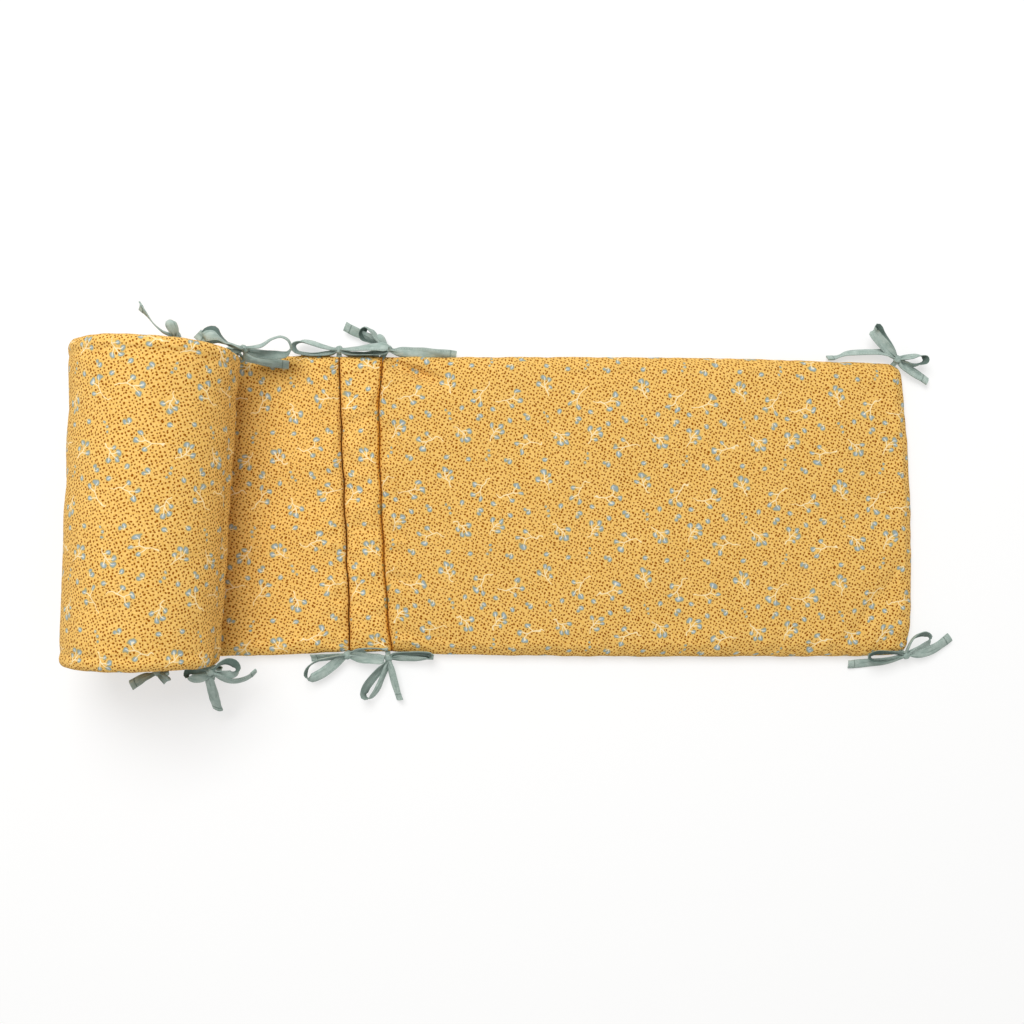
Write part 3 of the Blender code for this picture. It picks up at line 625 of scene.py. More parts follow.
    # Ground with slubs and uneven dye
    uneven = n.noise(p, 0.035, 3.0, 0.6, "2D")[0]
    ground = n.mix(n.step(uneven, 0.3, 0.7, 0.0, 0.35), GROUND, linear(233, 181, 88))
    stretched = n.vector("MULTIPLY", p, (0.18, 2.6, 1.0))
    slub = n.noise(stretched, 1.0, 2.0, 0.5, "2D")[0]
    mottle = n.noise(p, 0.55, 2.0, 0.6, "2D")[0]
    ground = n.mix(n.step(mottle, 0.44, 0.64, 0.0, 0.60), ground, linear(255, 216, 132))
    ground = n.mix(n.step(mottle, 0.50, 0.34, 0.0, 0.40), ground, linear(226, 172, 80))
    ground = n.mix(n.step(slub, 0.45, 0.75, 0.0, 0.22), ground, linear(244, 203, 120))
    colour = n.mix(dot_mask, ground, DOT)
    colour = n.mix(n.math("MULTIPLY", rim_mask, 0.85), colour, BERRY_RIM)
    colour = n.mix(berry_mask, colour, BERRY)
    colour = n.mix(n.math("MULTIPLY", light_mask, rim_mask), colour, BERRY_LIGHT)
    colour = n.mix(n.math("MULTIPLY", stem_mask, 0.95), colour, STEM)

    # Plain weave: threads both ways, a third of a millimetre apart
    weave = n.split(n.vector("SCALE", p, scale=2 * math.pi / 0.36))
    warp = n.math("SINE", weave[0])
    weft = n.math("SINE", weave[1])
    threads = n.math("MULTIPLY", warp, weft)
    fuzz = n.noise(p, 4.5, 2.0, 0.6, "2D")[0]
    shade = n.math("MULTIPLY_ADD", threads, 0.035, n.math("MULTIPLY_ADD", fuzz, 0.10, tone))
    colour = n.mix(1.0, colour, n.join(shade, shade, shade), "MULTIPLY")
    # Painted shade along the seams, from the seam attribute: a warm darker tint beside each seam and a dark line in its
    # groove, where shade falls between the puffed pieces.
    painted_shade_and_hem = n.tree.nodes.new("ShaderNodeAttribute")
    painted_shade_and_hem.attribute_name = "seam"
    deep = n.step(painted_shade_and_hem.outputs["Fac"], 0.0, 0.30, 0.0, 0.9)
    colour = n.mix(deep, colour, (0.96, 0.62, 0.14, 1.0), "MULTIPLY")
    colour = n.mix(n.math("MULTIPLY", painted_shade_and_hem.outputs["Fac"], 0.94), colour, linear(70, 26, 0))
    n.link(colour, n.shader.inputs["Base Color"])
    n.link(n.math("MULTIPLY_ADD", fuzz, 0.16, 0.80), n.shader.inputs["Roughness"])
    n.shader.inputs["Specular IOR Level"].default_value = 0.06
    n.shader.inputs["Sheen Weight"].default_value = 0.03
    n.shader.inputs["Sheen Roughness"].default_value = 0.5
    bump = n.tree.nodes.new("ShaderNodeBump")
    bump.inputs["Strength"].default_value = 0.55
    bump.inputs["Distance"].default_value = 0.00035
    high = n.math("MULTIPLY_ADD", threads, 0.32, n.math("MULTIPLY", fuzz, 0.55))
    crumple = n.noise(p, 0.16, 3.0, 0.55, "2D")[0]
    n.link(n.math("MULTIPLY_ADD", crumple, 2.2, high), bump.inputs["Height"])
    n.link(bump.outputs[0], n.shader.inputs["Normal"])
    return n.material


def tape_material():
    """Plain woven sage tape, folded and sewn along one edge."""
    n = Nodes("sage_tape")
    uv = n.tree.nodes.new("ShaderNodeUVMap")
    uv.uv_map = "cloth_flat"
    p = n.vector("SCALE", uv.outputs[0], scale=1000.0)
    x, y, _ = n.split(p)
    cloudy = n.noise(p, 0.12, 3.0, 0.6)[0]
    colour = n.mix(n.step(cloudy, 0.3, 0.7, 0.0, 1.0), linear(153, 173, 165), linear(178, 194, 186))
    slub = n.noise(n.vector("MULTIPLY", p, (0.25, 3.0, 1.0)), 1.0, 2.0)[0]
    colour = n.mix(n.step(slub, 0.4, 0.7, 0.0, 0.45), colour, linear(204, 214, 208))
    streak = n.noise(n.vector("MULTIPLY", p, (0.05, 0.42, 1.0)), 1.0, 2.0)[0]
    colour = n.mix(n.step(streak, 0.5, 0.28, 0.0, 0.55), colour, linear(112, 134, 125))
    # The row of stitches, a millimetre in from the folded edge, and those of the hem
    stitch = n.math("LESS_THAN", n.math("FRACT", n.math("MULTIPLY", x, 1 / 2.6)), 0.68)
    line = n.step(n.math("ABSOLUTE", n.math("SUBTRACT", y, 3.9)), 0.55, 0.2, 0.0, 1.0)
    sewn = n.math("MULTIPLY", stitch, line)
    colour = n.mix(n.math("MULTIPLY", line, 0.35), colour, linear(112, 134, 124))
    colour = n.mix(n.math("MULTIPLY", sewn, 0.5), colour, linear(196, 206, 200))
    rim = n.step(n.math("ABSOLUTE", y), 4.6, 5.1, 0.0, 0.35)
    colour = n.mix(rim, colour, linear(120, 138, 130))
    weave = n.split(n.vector("SCALE", p, scale=2 * math.pi / 0.42))
    threads = n.math("MULTIPLY", n.math("SINE", weave[0]), n.math("SINE", weave[1]))
    fuzz = n.noise(p, 3.6, 2.0, 0.6)[0]
    shade = n.math("MULTIPLY_ADD", threads, 0.05, n.math("MULTIPLY_ADD", fuzz, 0.16, 0.92))
    colour = n.mix(1.0, colour, n.join(shade, shade, shade), "MULTIPLY")
    # Painted shade from the seam attribute: darker in the knot's folds, inside the loops and on the tapes from the
    # seam; the same attribute also marks the hem's stitched line.
    painted_shade_and_hem = n.tree.nodes.new("ShaderNodeAttribute")
    painted_shade_and_hem.attribute_name = "seam"
    colour = n.mix(n.math("MULTIPLY", painted_shade_and_hem.outputs["Fac"], 0.85), colour, linear(72, 94, 86))
    n.link(colour, n.shader.inputs["Base Color"])
    n.link(n.math("MULTIPLY_ADD", fuzz, 0.14, 0.80), n.shader.inputs["Roughness"])
    n.shader.inputs["Specular IOR Level"].default_value = 0.08
    n.shader.inputs["Sheen Weight"].default_value = 0.04
    bump = n.tree.nodes.new("ShaderNodeBump")
    bump.inputs["Strength"].default_value = 0.6
    bump.inputs["Distance"].default_value = 0.0003
    high = n.math("MULTIPLY_ADD", threads, 0.35, n.math("MULTIPLY", fuzz, 0.6))
    high = n.math("MULTIPLY_ADD", line, -0.8, high)
    n.link(n.math("MULTIPLY_ADD", sewn, 0.9, high), bump.inputs["Height"])
    n.link(bump.outputs[0], n.shader.inputs["Normal"])
    return n.material


# -------------------------------------------------------------------------- covers
end_cover = print_material("end_cover_print", 1.5, (12.0, 31.0), True, 0.885)
strip_cover = print_material("strip_cover_print", 0.0, (41.0, 8.0), False)
far_cover = print_material("far_cover_print", 0.0, (17.0, 52.0), False)
tape = tape_material()

# The end panel
along = stations([0.0, END_PANEL_LENGTH], 0.0032, finest=0.0005)
across = stations([0.0, 1.0], 0.0106, fine=0.0042, reach=0.060)
A, C = np.meshgrid(along, across, indexing="ij")
upper = end_panel_points(A, C, 1)
lower = end_panel_points(A, C, -1)
rows = np.linspace(0, END_PANEL_LENGTH, 118)
columns = np.linspace(0, 1, 68)
a, c = np.meshgrid(rows, columns, indexing="ij")
start = end_panel_points(a, c, 1)
held = (a < 0.004) | (a > END_PANEL_LENGTH - 0.006) | (c < 0.018) | (c > 0.982)
moved = puff(start, held)
upper = upper + spread(moved, rows, columns, along, across)
# Painted shade for the seam attribute: a dark line in the groove at the end panel's seam, with a faint broader shade
# beside it.
seam = np.exp(-(A / 0.0008) ** 2) * 0.35 + 0.10 * np.exp(-(A / 0.0040) ** 2)
end_panel = piece("end_panel_cloth", sheet_mesh("end_panel_cloth", upper, lower, seam), end_cover)

# The strip: corner section, middle panel, the roll's outer turn and the far corner section
runs = stations([0.0, CORNER_WIDTH, FAR_CHANNEL, FAR_SEAM - GAP / 2], 0.0032, finest=0.0005)
R, C = np.meshgrid(runs, across, indexing="ij")
upper = strip_points(R, C, 1)
lower = strip_points(R, C, -1)
columns = np.linspace(0, 1, 68)
rows = np.linspace(0, ROLL_START - 0.02, 46)
a, c = np.meshgrid(rows, columns, indexing="ij")
start = strip_points(a, c, 1)
held = (a < 0.004) | (a > rows[-1] - 0.012) | (c < 0.018) | (c > 0.982) | (np.abs(a - CORNER_WIDTH) < 0.004)
moved = puff(start, held)
upper = upper + spread(moved, rows, columns, runs, across) * (R < rows[-1])[..., None]
rows = np.linspace(ROLL_START + 0.02, FAR_SEAM, 84)
a, c = np.meshgrid(rows, columns, indexing="ij")
start = strip_points(a, c, -1)
held = (a < rows[0] + 0.012) | (a > rows[-1] - 0.006) | (c < 0.018) | (c > 0.982) | (np.abs(a - FAR_CHANNEL) < 0.004)
moved = puff(start, held, growth=-0.008, pressure=3.0, cap=0.0012)
lower = lower + spread(moved, rows, columns, runs, across) * (R > rows[0])[..., None]
# Painted shade for the seam attribute: a dark line in the sewn channel's groove, another at the seam with the end
# panel, and a faint broader shade beside each.
seam = 1.7 * np.exp(-((R - CORNER_WIDTH) / 0.00060) ** 2) + 0.35 * np.exp(-(R / 0.0014) ** 2)
seam = seam + 0.10 * np.exp(-((R - CORNER_WIDTH) / 0.0035) ** 2) + 0.12 * np.exp(-(R / 0.0040) ** 2)
strip = piece("strip_cloth", sheet_mesh("strip_cloth", upper, lower, np.clip(seam, 0, 1), -1.0), strip_cover)

# The far end panel, wound inside the roll
runs = FAR_SEAM + GAP / 2 + stations([0.0, END_PANEL_LENGTH - GAP / 2], 0.0040, fine=0.0016)
wide = stations([0.0, 1.0], 0.030, fine=0.0045, reach=0.060)
R, C = np.meshgrid(runs, wide, indexing="ij")
far = piece(
    "rolled_end_cloth", sheet_mesh("rolled_end_cloth", strip_points(R, C, 1), strip_points(R, C, -1), R * 0.0, -1.0), far_cover)

for made, node, slot, fill in (
    (end_panel, "end_panel", "end_cover", 0.5),
    (strip, "middle_panel", "strip_cover", 0.5),
    (far, "rolled_end_panel", "far_cover", 0.5),
):
    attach(made, "root")
    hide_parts(node)

# ---------------------------------------------------------------------------- ties
# Each bow as it lies in the photo. A strand has the heading in which it leaves its
# knot and how far its band tips over that way, in degrees, and then its points: the
# picture's column and row, the height in millimetres, and the lean from lying flat.
BOWS = {
    "tie_top_1": {"knot": (897.5, 359.5, 12.0, 150), "root": (892.0, 366.5, 8.3), "strands": [
        ("deep loop", 124, 38, [(893.5, 355.5, 13, -40), (885, 345.5, 16, -30), (877, 336.6, 18.5, -26), (874, 331.6, 19.5, -40), (874.6, 328.8, 19, -62),
                                (876.6, 327.8, 17.6, -74), (878.4, 329.8, 16, -68), (880, 334, 14.4, -50), (885.4, 343.4, 12, -40), (893.8, 355, 11, -40)]),
        ("deep loop", 4, 18, [(902, 358.2, 14, -60), (910.4, 356.8, 14.8, -62), (918.4, 355.4, 15.2, -70), (924.8, 357, 14.8, -80),
                              (925, 361, 13.6, -87), (919.8, 364, 12.2, -92), (911.4, 364.8, 11.2, -96), (904, 362.6, 11.2, -98)]),
        ("end", 176, 0, [(888, 353, 12, 44), (873, 351.6, 10.5, 48), (857, 351.8, 8.5, 54), (846, 353.2, 6.5, 66), (839, 356.2, 5, 76),
                         (833, 357.8, 4, 62), (826.5, 358.0, 4, 58)]),
        ("end", -33, 0, [(901.5, 364.4, 10, 136), (909, 369.4, 8.6, 150), (916, 373.8, 7, 155), (922, 377.4, 6, 153), (927.6, 381.2, 5.4, 146)]),
    ]},
    "tie_bottom_1": {"knot": (906.0, 655.0, 12.5, 10), "root": (899.5, 650.6, 8.3), "strands": [
        ("loop", 45, 30, [(907, 650, 14, 74), (910.5, 642, 14.5, 76), (916.5, 635.8, 15, 74), (924.5, 633.6, 15, 68), (929.6, 637, 14.5, 60),
                          (928, 643, 13.5, 50), (920.5, 648.5, 12.5, 48), (912, 652.2, 12.5, 50)]),
        ("end", 20, 0, [(912, 654.4, 12, 30), (922, 653, 11, 20), (934, 648.6, 9, 16), (943, 643, 7.5, 16), (950.3, 637.2, 6.5, 18)]),
        ("deep loop", 183, 15, [(899, 653.2, 15, -62), (888, 652.4, 17, -68), (876, 653, 17.5, -70), (869.8, 656.2, 16.5, -74), (872.5, 660.4, 14, -80),
                           (882, 662.2, 12.5, -82), (893, 660.6, 12, -80), (901, 657.6, 12, -70)]),
        ("end", 188, 0, [(896, 659, 9.5, -44), (884, 661.4, 8, -38), (870, 662.6, 5.5, -36), (857, 664, 4, -34), (847.6, 664.6, 3.6, -34)]),
    ]},
    "tie_top_2": {"knot": (388.0, 348.8, 7.5, 80), "root": (381.0, 359.6, 8.3), "strands": [
        ("end", -3, 0, [(394, 352.2, 7.6, 38), (403, 352.4, 9, 22), (418, 352.6, 9.5, 18), (437, 353.8, 9, 32), (456.5, 355.6, 8, 44)]),
        ("end", 148, 0, [(382, 344, 7, -40), (372, 339.5, 9, -38), (360, 334, 10, -34), (352, 330.2, 10, -32), (344.9, 326.4, 9, -32)]),
        ("deep loop", 139, 30, [(383, 344, 10, 66), (376.5, 337.5, 12, 72), (371.5, 330.5, 14, 72), (366.3, 328, 14.5, 66), (362.2, 331.4, 13.5, 60),
                           (363, 337.6, 11, 62), (371, 342.6, 9, 66), (381, 346, 9, 66)]),
        ("loop", 138, 10, [(384, 343.4, 9, 20), (380, 339, 10.5, 22), (376, 336.8, 10, 24), (376, 339.2, 6.5, 26), (381, 344.4, 6, 24)]),
    ]},
    "tie_bottom_2": {"knot": (388.5, 657.6, 12.0, 80), "root": (387.6, 651.2, 8.3), "strands": [
        ("loop", 242, 10, [(386, 663, 12.5, -50), (379.5, 670, 13.5, -44), (371.5, 679, 14, -42), (365.4, 688.6, 13.5, -46), (364.2, 696, 12, -58),
                           (368.6, 698.4, 10.5, -66), (376.2, 691.6, 9.5, -66), (383, 677, 10, -62), (387.2, 665, 11, -60)]),
        ("end", -77, 0, [(389.4, 664, 11, 50), (392.6, 676, 9, 46), (396, 688, 7, 46), (399.6, 700, 6, 46)]),
        ("loop", 2, 15, [(395, 654.6, 14, 58), (407, 652.9, 15.5, 64), (421, 652.9, 16, 66), (431.4, 654.6, 15.5, 74), (430.6, 657.6, 13.5, 74),
                         (418, 659.4, 11.5, 60), (404, 658.6, 11.5, 56)]),
        ("end", -2, 0, [(396, 657, 10, 56), (408, 657, 9, 60), (421, 656.8, 8.5, 62), (433.5, 657.8, 8, 62)]),
    ]},
    "tie_top_3": {"knot": (339.3, 349.8, 12.0, 10), "root": (339.0, 357.2, 8.5), "strands": [
        ("loop", 178, 15, [(333, 348.8, 13.5, 62), (323, 346.6, 14.5, 66), (311, 343, 14.5, 68), (300.5, 341.6, 14, 76), (294, 345.4, 13.5, 84),
                           (296, 350.8, 13, 80), (306, 353.6, 12.5, 72), (320, 354, 12, 66), (333, 352, 12, 60)]),
        ("loop", 3, 0, [(345, 349, 15, 120), (356, 348, 17.5, 122), (370, 346.6, 19.5, 132), (382, 346.6, 20, 150), (388.4, 348, 18, 172),
                        (383, 351.2, 15.5, 140), (370, 353.6, 14, 116), (356, 354, 13, 114), (346, 352.2, 12.5, 120)]),
        ("end", 184, 0, [(333, 352.4, 10, -64), (322, 354, 8.5, -66), (310, 354.8, 7, -66), (301, 355.0, 6, -66)]),
        ("end", -4, 0, [(346, 353.6, 11, 62), (356, 354.6, 10, 64), (368, 355, 9, 66), (379, 355, 8.4, 68)]),
    ]},
    "tie_bottom_3": {"knot": (347.2, 655.2, 12.0, 10), "root": (349.6, 650.6, 8.3), "strands": [
        ("loop", 213, 8, [(341, 656.2, 14, -60), (330, 657.8, 15.5, -74), (317, 661, 16, -80), (307.4, 667.6, 15.5, -82), (305.3, 675, 14.5, -70),
                          (309.6, 678.8, 13, -40), (320, 674.6, 12, -14), (331, 666.8, 11.6, -16), (340, 659.8, 11.6, -30)]),
        ("end", 183, 0, [(340, 656, 11, -50), (329, 657, 10, -44), (319, 657.4, 9, -40), (311, 657.4, 8, -40)]),
        ("loop", -4, 0, [(353, 656.8, 14, 36), (364, 658.2, 16, 18), (376, 659, 17, 10), (384.4, 659.4, 15.5, 8), (377, 658.4, 12.4, 22),
                         (364, 656.6, 11.4, 40), (353, 655.6, 11.5, 44)]),
        ("end", 6, 0, [(354, 652.6, 10.5, 60), (365, 650.6, 10, 64), (377, 649.8, 9.4, 66), (388, 650.2, 9.6, 66)]),
    ]},
    "tie_top_4": {"knot": (243.8, 348.8, 62.0, 60), "root": (231.0, 352.6, 80.0), "strands": [
        ("loop", 2, 12, [(250, 347.4, 62, 112), (261, 345.4, 58, 112), (271.5, 338.8, 54, 112), (280.5, 336.4, 50, 108), (288.2, 340.2, 46, 104),
                         (291.2, 348.4, 43, 112), (287, 354.2, 42, 132), (275, 355, 43.5, 148), (262, 354.6, 48, 148), (251, 352.6, 55, 140)]),
        ("end", -10, 0, [(246.5, 356.4, 44, 126), (256, 359.4, 33, 138), (268, 361.8, 27, 144), (280, 363.8, 23.4, 146), (289, 364.8, 21.5, 146)]),
        ("deep loop", 200, 0, [(239, 347.4, 70, 84), (231, 344.2, 80, 86), (224.4, 341.2, 88, 78), (219.6, 337.6, 94, 44), (215.6, 335.2, 98.5, 14),
                          (210.6, 335, 101, 6), (206, 335.8, 101, 6), (203.6, 336.2, 98.4, 6), (206, 333.8, 95.2, 6), (211.2, 331.2, 93.6, 8),
                          (216.6, 331.4, 91.6, 18), (222.6, 339.4, 87, 70), (231, 345.8, 77, 84), (239, 348.4, 68, 80)]),
        ("end", 137, 0, [(238, 347, 72, 80), (229, 344, 80, 82), (219, 341.8, 88, 70), (209, 340.6, 92, 40), (202.6, 338, 94.5, 20), (197.3, 333.4, 96, 14)]),
    ]},
    "tie_bottom_4": {"knot": (210.2, 671.6, 86.0, 10), "root": (206.0, 666.0, 89.0), "strands": [
        ("deep loop", 22, 50, [(213.4, 669.4, 87, 74), (219.4, 664.8, 87, 78), (227, 662.2, 86, 74), (233.8, 663.6, 85, 64), (236.6, 668.4, 83.4, 58),
                          (233.6, 673.4, 82, 56), (226, 674.4, 82, 62), (217, 673.2, 84, 66)]),
        ("end", -8, 0, [(217, 675.6, 83, 58), (228, 680.6, 76, 56), (239, 681.2, 68, 60), (249, 677.4, 60, 72), (256.2, 670.8, 56, 84)]),
        ("end", -101, 0, [(209.6, 679.4, 80, 10), (211.9, 690, 66, 0), (214.8, 700, 48, 0), (217.8, 709.6, 30, 0)]),
        ("deep loop", 182, 35, [(204, 669.8, 88, -54), (196, 669.2, 89, -50), (189.4, 671.4, 88, -46), (188.2, 675.4, 86.5, -44), (192.6, 678.2, 85, -34),
                           (200, 678.2, 84.5, -34), (207, 675.8, 84.5, -44)]),
    ]},
    "tie_top_5": {"knot": (237.5, 350.4, 38.0, 60), "root": (232.0, 355.0, 51.0), "strands": [
        ("loop", -60, 0, [(240, 354, 37, 60), (243, 358.6, 34, 60), (241, 361, 32, 60), (237, 357, 34, 60)]),
        ("loop", 160, 0, [(233, 349, 38, 60), (228, 347.4, 37, 60), (226.6, 349.4, 36, 60), (232, 351.4, 37, 60)]),
        ("end", 90, 0, [(238.6, 349.2, 34, 0), (239.4, 348.4, 26, 0), (240, 348, 18, 0)]),
        ("end", 200, 0, [(234, 352.4, 34, 70), (230.6, 353.6, 26, 76), (228.6, 354.0, 18, 80)]),
    ]},
    "tie_bottom_5": {"knot": (211.0, 668.0, 40.0, 60), "root": (207.6, 661.4, 49.0), "strands": [
        ("loop", -20, 0, [(215, 668.6, 40, 60), (220, 670.2, 38.5, 60), (221.6, 668.8, 37, 60), (216, 666.6, 39, 60)]),
        ("loop", -160, 0, [(206.6, 669.2, 40, 60), (200, 671.8, 38, 60), (197, 670.8, 36.5, 60), (200.6, 667.8, 37, 60), (206.6, 666.8, 39, 60)]),
        ("end", -60, 0, [(212, 670.6, 34, 80), (213.6, 673, 24, 80), (214.6, 675, 15, 80)]),
        ("end", -140, 0, [(208.6, 670, 34, 80), (205.4, 672.6, 25, 80), (202.4, 674.8, 16, 80)]),
    ]},
    "tie_top_6": {"knot": (174.0, 338.6, 83.0, 30), "root": (168.4, 344.8, 61.0), "strands": [
        ("end", 126, 0, [(169.4, 334.8, 84, 104), (161.8, 330.8, 86, 102), (154.4, 324.4, 86, 102), (147.4, 315, 83, 104), (143.2, 309.6, 80, 110),
                         (139.8, 305.4, 77, 122)]),
        ("loop", 98, 0, [(174.8, 334.4, 87, 20), (173, 328.4, 90, 16), (170.6, 322.6, 91, 14), (169.6, 320.8, 87, 14), (171, 324.6, 83, 16),
                         (173.6, 333, 81.4, 20)]),
        ("loop", 60, 0, [(175.4, 336.4, 78, 66), (177.6, 334.2, 72, 66), (176.4, 333.6, 68, 66), (174, 336.4, 73, 66)]),
        ("end", 70, 0, [(175.6, 335.4, 76, 70), (176.2, 333.4, 67, 70), (176.8, 332.2, 59, 70)]),
    ]},
    "tie_bottom_6": {"knot": (157.5, 672.0, 82.0, 30), "root": (150.2, 662.4, 58.0), "strands": [
        ("end", 211, 0, [(151.6, 675, 81, 56), (144, 677.2, 79, 44), (137.4, 681, 77, 30), (131, 685.2, 74, 20)]),
        ("loop", -57, 0, [(160.6, 675.2, 84, 30), (164.4, 678.6, 85, 28), (167, 681, 83, 26), (166.4, 680.4, 79.4, 26), (161.6, 676, 79.4, 28)]),
        ("loop", -20, 0, [(161, 672.4, 80, 66), (166, 673.4, 76, 66), (168, 672.6, 73, 66), (162, 670.6, 77, 66)]),
        ("end", -85, 0, [(158.4, 674.4, 75, 70), (159.2, 676, 66, 70), (160, 677.2, 58, 70)]),
    ]},
}


def from_picture(column, row, up):
    """The place in metres of a point seen at this column and row, at this height in millimetres."""
    reach = PIXELS_PER_RADIAN / (CAMERA_UP * 1000 - up)
    return np.array([(column - CENTRE_COLUMN) / reach, (CENTRE_ROW - row) / reach, up]) / 1000.0


def spline(points, count, hem):
    """A curve through points: even stations, closer together at a hem, and how far along each is."""
    points = np.asarray(points, float)
    ahead = np.vstack([2 * points[0] - points[1], points, 2 * points[-1] - points[-2]])
    gaps = np.sqrt(np.maximum(np.linalg.norm(np.diff(ahead[:, :3], axis=0), axis=1), 1e-6))
    out = []
    for i in range(1, len(ahead) - 2):
        p0, p1, p2, p3 = ahead[i - 1 : i + 3]
        t0, t1 = 0.0, gaps[i - 1]
        t2 = t1 + gaps[i]
        t3 = t2 + gaps[i + 1]
        for t in np.linspace(t1, t2, 24, endpoint=False):
            a1 = (t1 - t) / (t1 - t0) * p0 + (t - t0) / (t1 - t0) * p1
            a2 = (t2 - t) / (t2 - t1) * p1 + (t - t1) / (t2 - t1) * p2
            a3 = (t3 - t) / (t3 - t2) * p2 + (t - t2) / (t3 - t2) * p3
            b1 = (t2 - t) / (t2 - t0) * a1 + (t - t0) / (t2 - t0) * a2
            b2 = (t3 - t) / (t3 - t1) * a2 + (t - t1) / (t3 - t1) * a3
            out.append((t2 - t) / (t2 - t1) * b1 + (t - t1) / (t2 - t1) * b2)
    out.append(points[-1])
    out = np.array(out)
    far = np.concatenate([[0], np.cumsum(np.linalg.norm(np.diff(out[:, :3], axis=0), axis=1))])
    even = np.linspace(0, far[-1], count)
    if hem:
        back = np.array([0.0072, 0.0068, 0.0065, 0.0062, 0.0059, 0.0052, 0.0030, 0.0012, 0.0])
        even = np.concatenate([np.linspace(0, far[-1] - 0.0080, count - len(back)), far[-1] - back])
    return np.stack([np.interp(even, far, out[:, k]) for k in range(out.shape[1])], -1), even


def tape_strand(kind, heading, tip, knot, table, seed):
    """One strand of a bow: a closed thin band, gathered where it enters the knot."""
    chance = np.random.RandomState(seed)
    # How strong the painted shade on a loop's inner side is: stronger in a deep loop.
    shaded = 0.95 if kind == "deep loop" else 0.50
    kind = kind.split()[-1]
    rows = [(*from_picture(c, r, z), lean) for c, r, z, lean in table]
    first = (*knot, rows[0][3])
    rows = [first] + rows
    if kind == "loop":
        rows = rows + [(*(knot + np.array([0, 0, -0.0008])), rows[-1][3])]
    count = 46 if kind == "loop" else 38
    curve, far = spline(rows, count, kind == "end")
    length = far[-1]
    centre, lean = curve[:, :3], np.radians(curve[:, 3])
    way = np.gradient(centre, far, axis=0)
    way /= np.linalg.norm(way, axis=1, keepdims=True)
    angle = math.radians(heading)
    left = np.array([-math.sin(angle), math.cos(angle), 0.0])
    tip = math.radians(tip)
    stands = np.array([math.cos(angle) * math.sin(tip), math.sin(angle) * math.sin(tip), math.cos(tip)])
    wide = np.cos(lean)[:, None] * left + np.sin(lean)[:, None] * stands
    wide -= (wide * way).sum(1)[:, None] * way
    wide /= np.linalg.norm(wide, axis=1, keepdims=True)
    face = np.cross(way, wide)
    drawn = 1 - 0.62 * np.exp(-((far / 0.0075) ** 2))
    out = np.array([math.cos(angle), math.sin(angle), 0.0])
    tip_at = int(np.argmax(centre @ out))
    cupped = np.ones(count)
    if kind == "loop":
        drawn *= 1 - 0.62 * np.exp(-(((length - far) / 0.0075) ** 2))
        # Where it turns over lying flat, the band cups a little.
        cupped -= 0.30 * math.cos(lean[tip_at]) ** 2 * np.exp(-(((far - far[tip_at]) / 0.0032) ** 2))
    width = TAPE * drawn * cupped * (1 + 0.02 * ripple(seed, far, (0.02,), (1.0,)))
    thick = np.full(count, TAPE_THICK)
    if kind == "end":
        hem = smooth((far - (length - 0.0067)) / 0.0006)
        thick = thick * (1 + 0.8 * hem)
        width = width * (1 - 0.03 * hem)
    across = np.array([-1.0, -0.93, -0.6, -0.3, 0.0, 0.3, 0.56, 0.72, 0.80, 0.95, 1.0])
    edge = np.array([0.35, 0.85, 1, 1, 1, 1, 1.05, 1.0, 0.68, 1.1, 0.45])
    # Gathered folds near the knot, and a slight curl across elsewhere.
    gather = (1 - drawn)[:, None]
    fold = np.sin(across[None, :] * math.pi * 1.9 + chance.uniform(0, 6.28))
    folds = gather * 0.0022 * fold
    curl = 0.0008 * chance.choice([-1, 1]) * (across[None, :] ** 2 - 0.4)
    wave = 0.0005 * np.sin(far[:, None] / 0.008 + across[None, :] * 2.4 + chance.uniform(0, 6.28))
    lift = folds + curl + wave * (1 - gather)
    middle = centre[:, None, :] + wide[:, None, :] * (across[None, :, None] * width[:, None, None] / 2)
    middle = middle + face[:, None, :] * lift[..., None]
    # Nothing sinks into the surface it lies on.
    low = middle[..., 2].min(axis=1) - thick
    middle[..., 2] += np.maximum(0.0004 - low, 0.0)[:, None]
    half = (thick[:, None] * edge[None, :] / 2)[..., None] * face[:, None, :]
    flat = np.stack([
        np.broadcast_to(far[:, None], lift.shape), np.broadcast_to(across[None, :] * TAPE / 2, lift.shape)], -1)
    # Painted shade for the seam attribute: darker in the gathered folds near the knot, varying across the folds.
    painted_shade_and_hem = [gather * (0.25 + 0.45 * (1 - fold)), gather * (0.25 + 0.45 * (1 + fold))]
    if kind == "end":
        line = np.exp(-(((far - (length - 0.00635)) / 0.00045) ** 2))[:, None] * np.ones_like(lift)
        painted_shade_and_hem = [w + 0.8 * line for w in painted_shade_and_hem]
    else:
        # Painted shade: a loop's inner side is darker, most towards the middle of the loop.
        inner = 0 if face[tip_at] @ out < 0 else 1
        painted_shade_and_hem[inner] = painted_shade_and_hem[inner] + shaded * np.sin(math.pi * far / length)[:, None] ** 0.7
    return middle + half, middle - half, flat, [np.clip(w, 0, 1) for w in painted_shade_and_hem], length


def knot_skin(knot, turned_by, seed):
    """The wrapped knot: a small lumpy band with creases that run across it."""
    chance = np.random.RandomState(seed)
    rows, columns = 20, 28
    polar = np.linspace(0.04, math.pi - 0.04, rows)[:, None]
    around = np.linspace(0, 2 * math.pi, columns, endpoint=False)[None, :]
    crease = 0.07 * np.sin(5 * around + 3 * np.cos(polar) + chance.uniform(0, 6)) + 0.05 * np.sin(9 * around + chance.uniform(0, 6))
    swell = 1 + crease * np.sin(polar)
    square = lambda v: np.sign(v) * np.abs(v) ** 0.8
    x = 0.0036 * square(np.cos(polar)) * np.ones_like(around)
    y = 0.0041 * square(np.sin(polar)) * np.cos(around) * swell
    z = 0.0031 * square(np.sin(polar)) * np.sin(around) * swell
    t = math.radians(turned_by)
    points = np.stack([x * math.cos(t) - y * math.sin(t), x * math.sin(t) + y * math.cos(t), z], -1) + knot
    return points, x, around


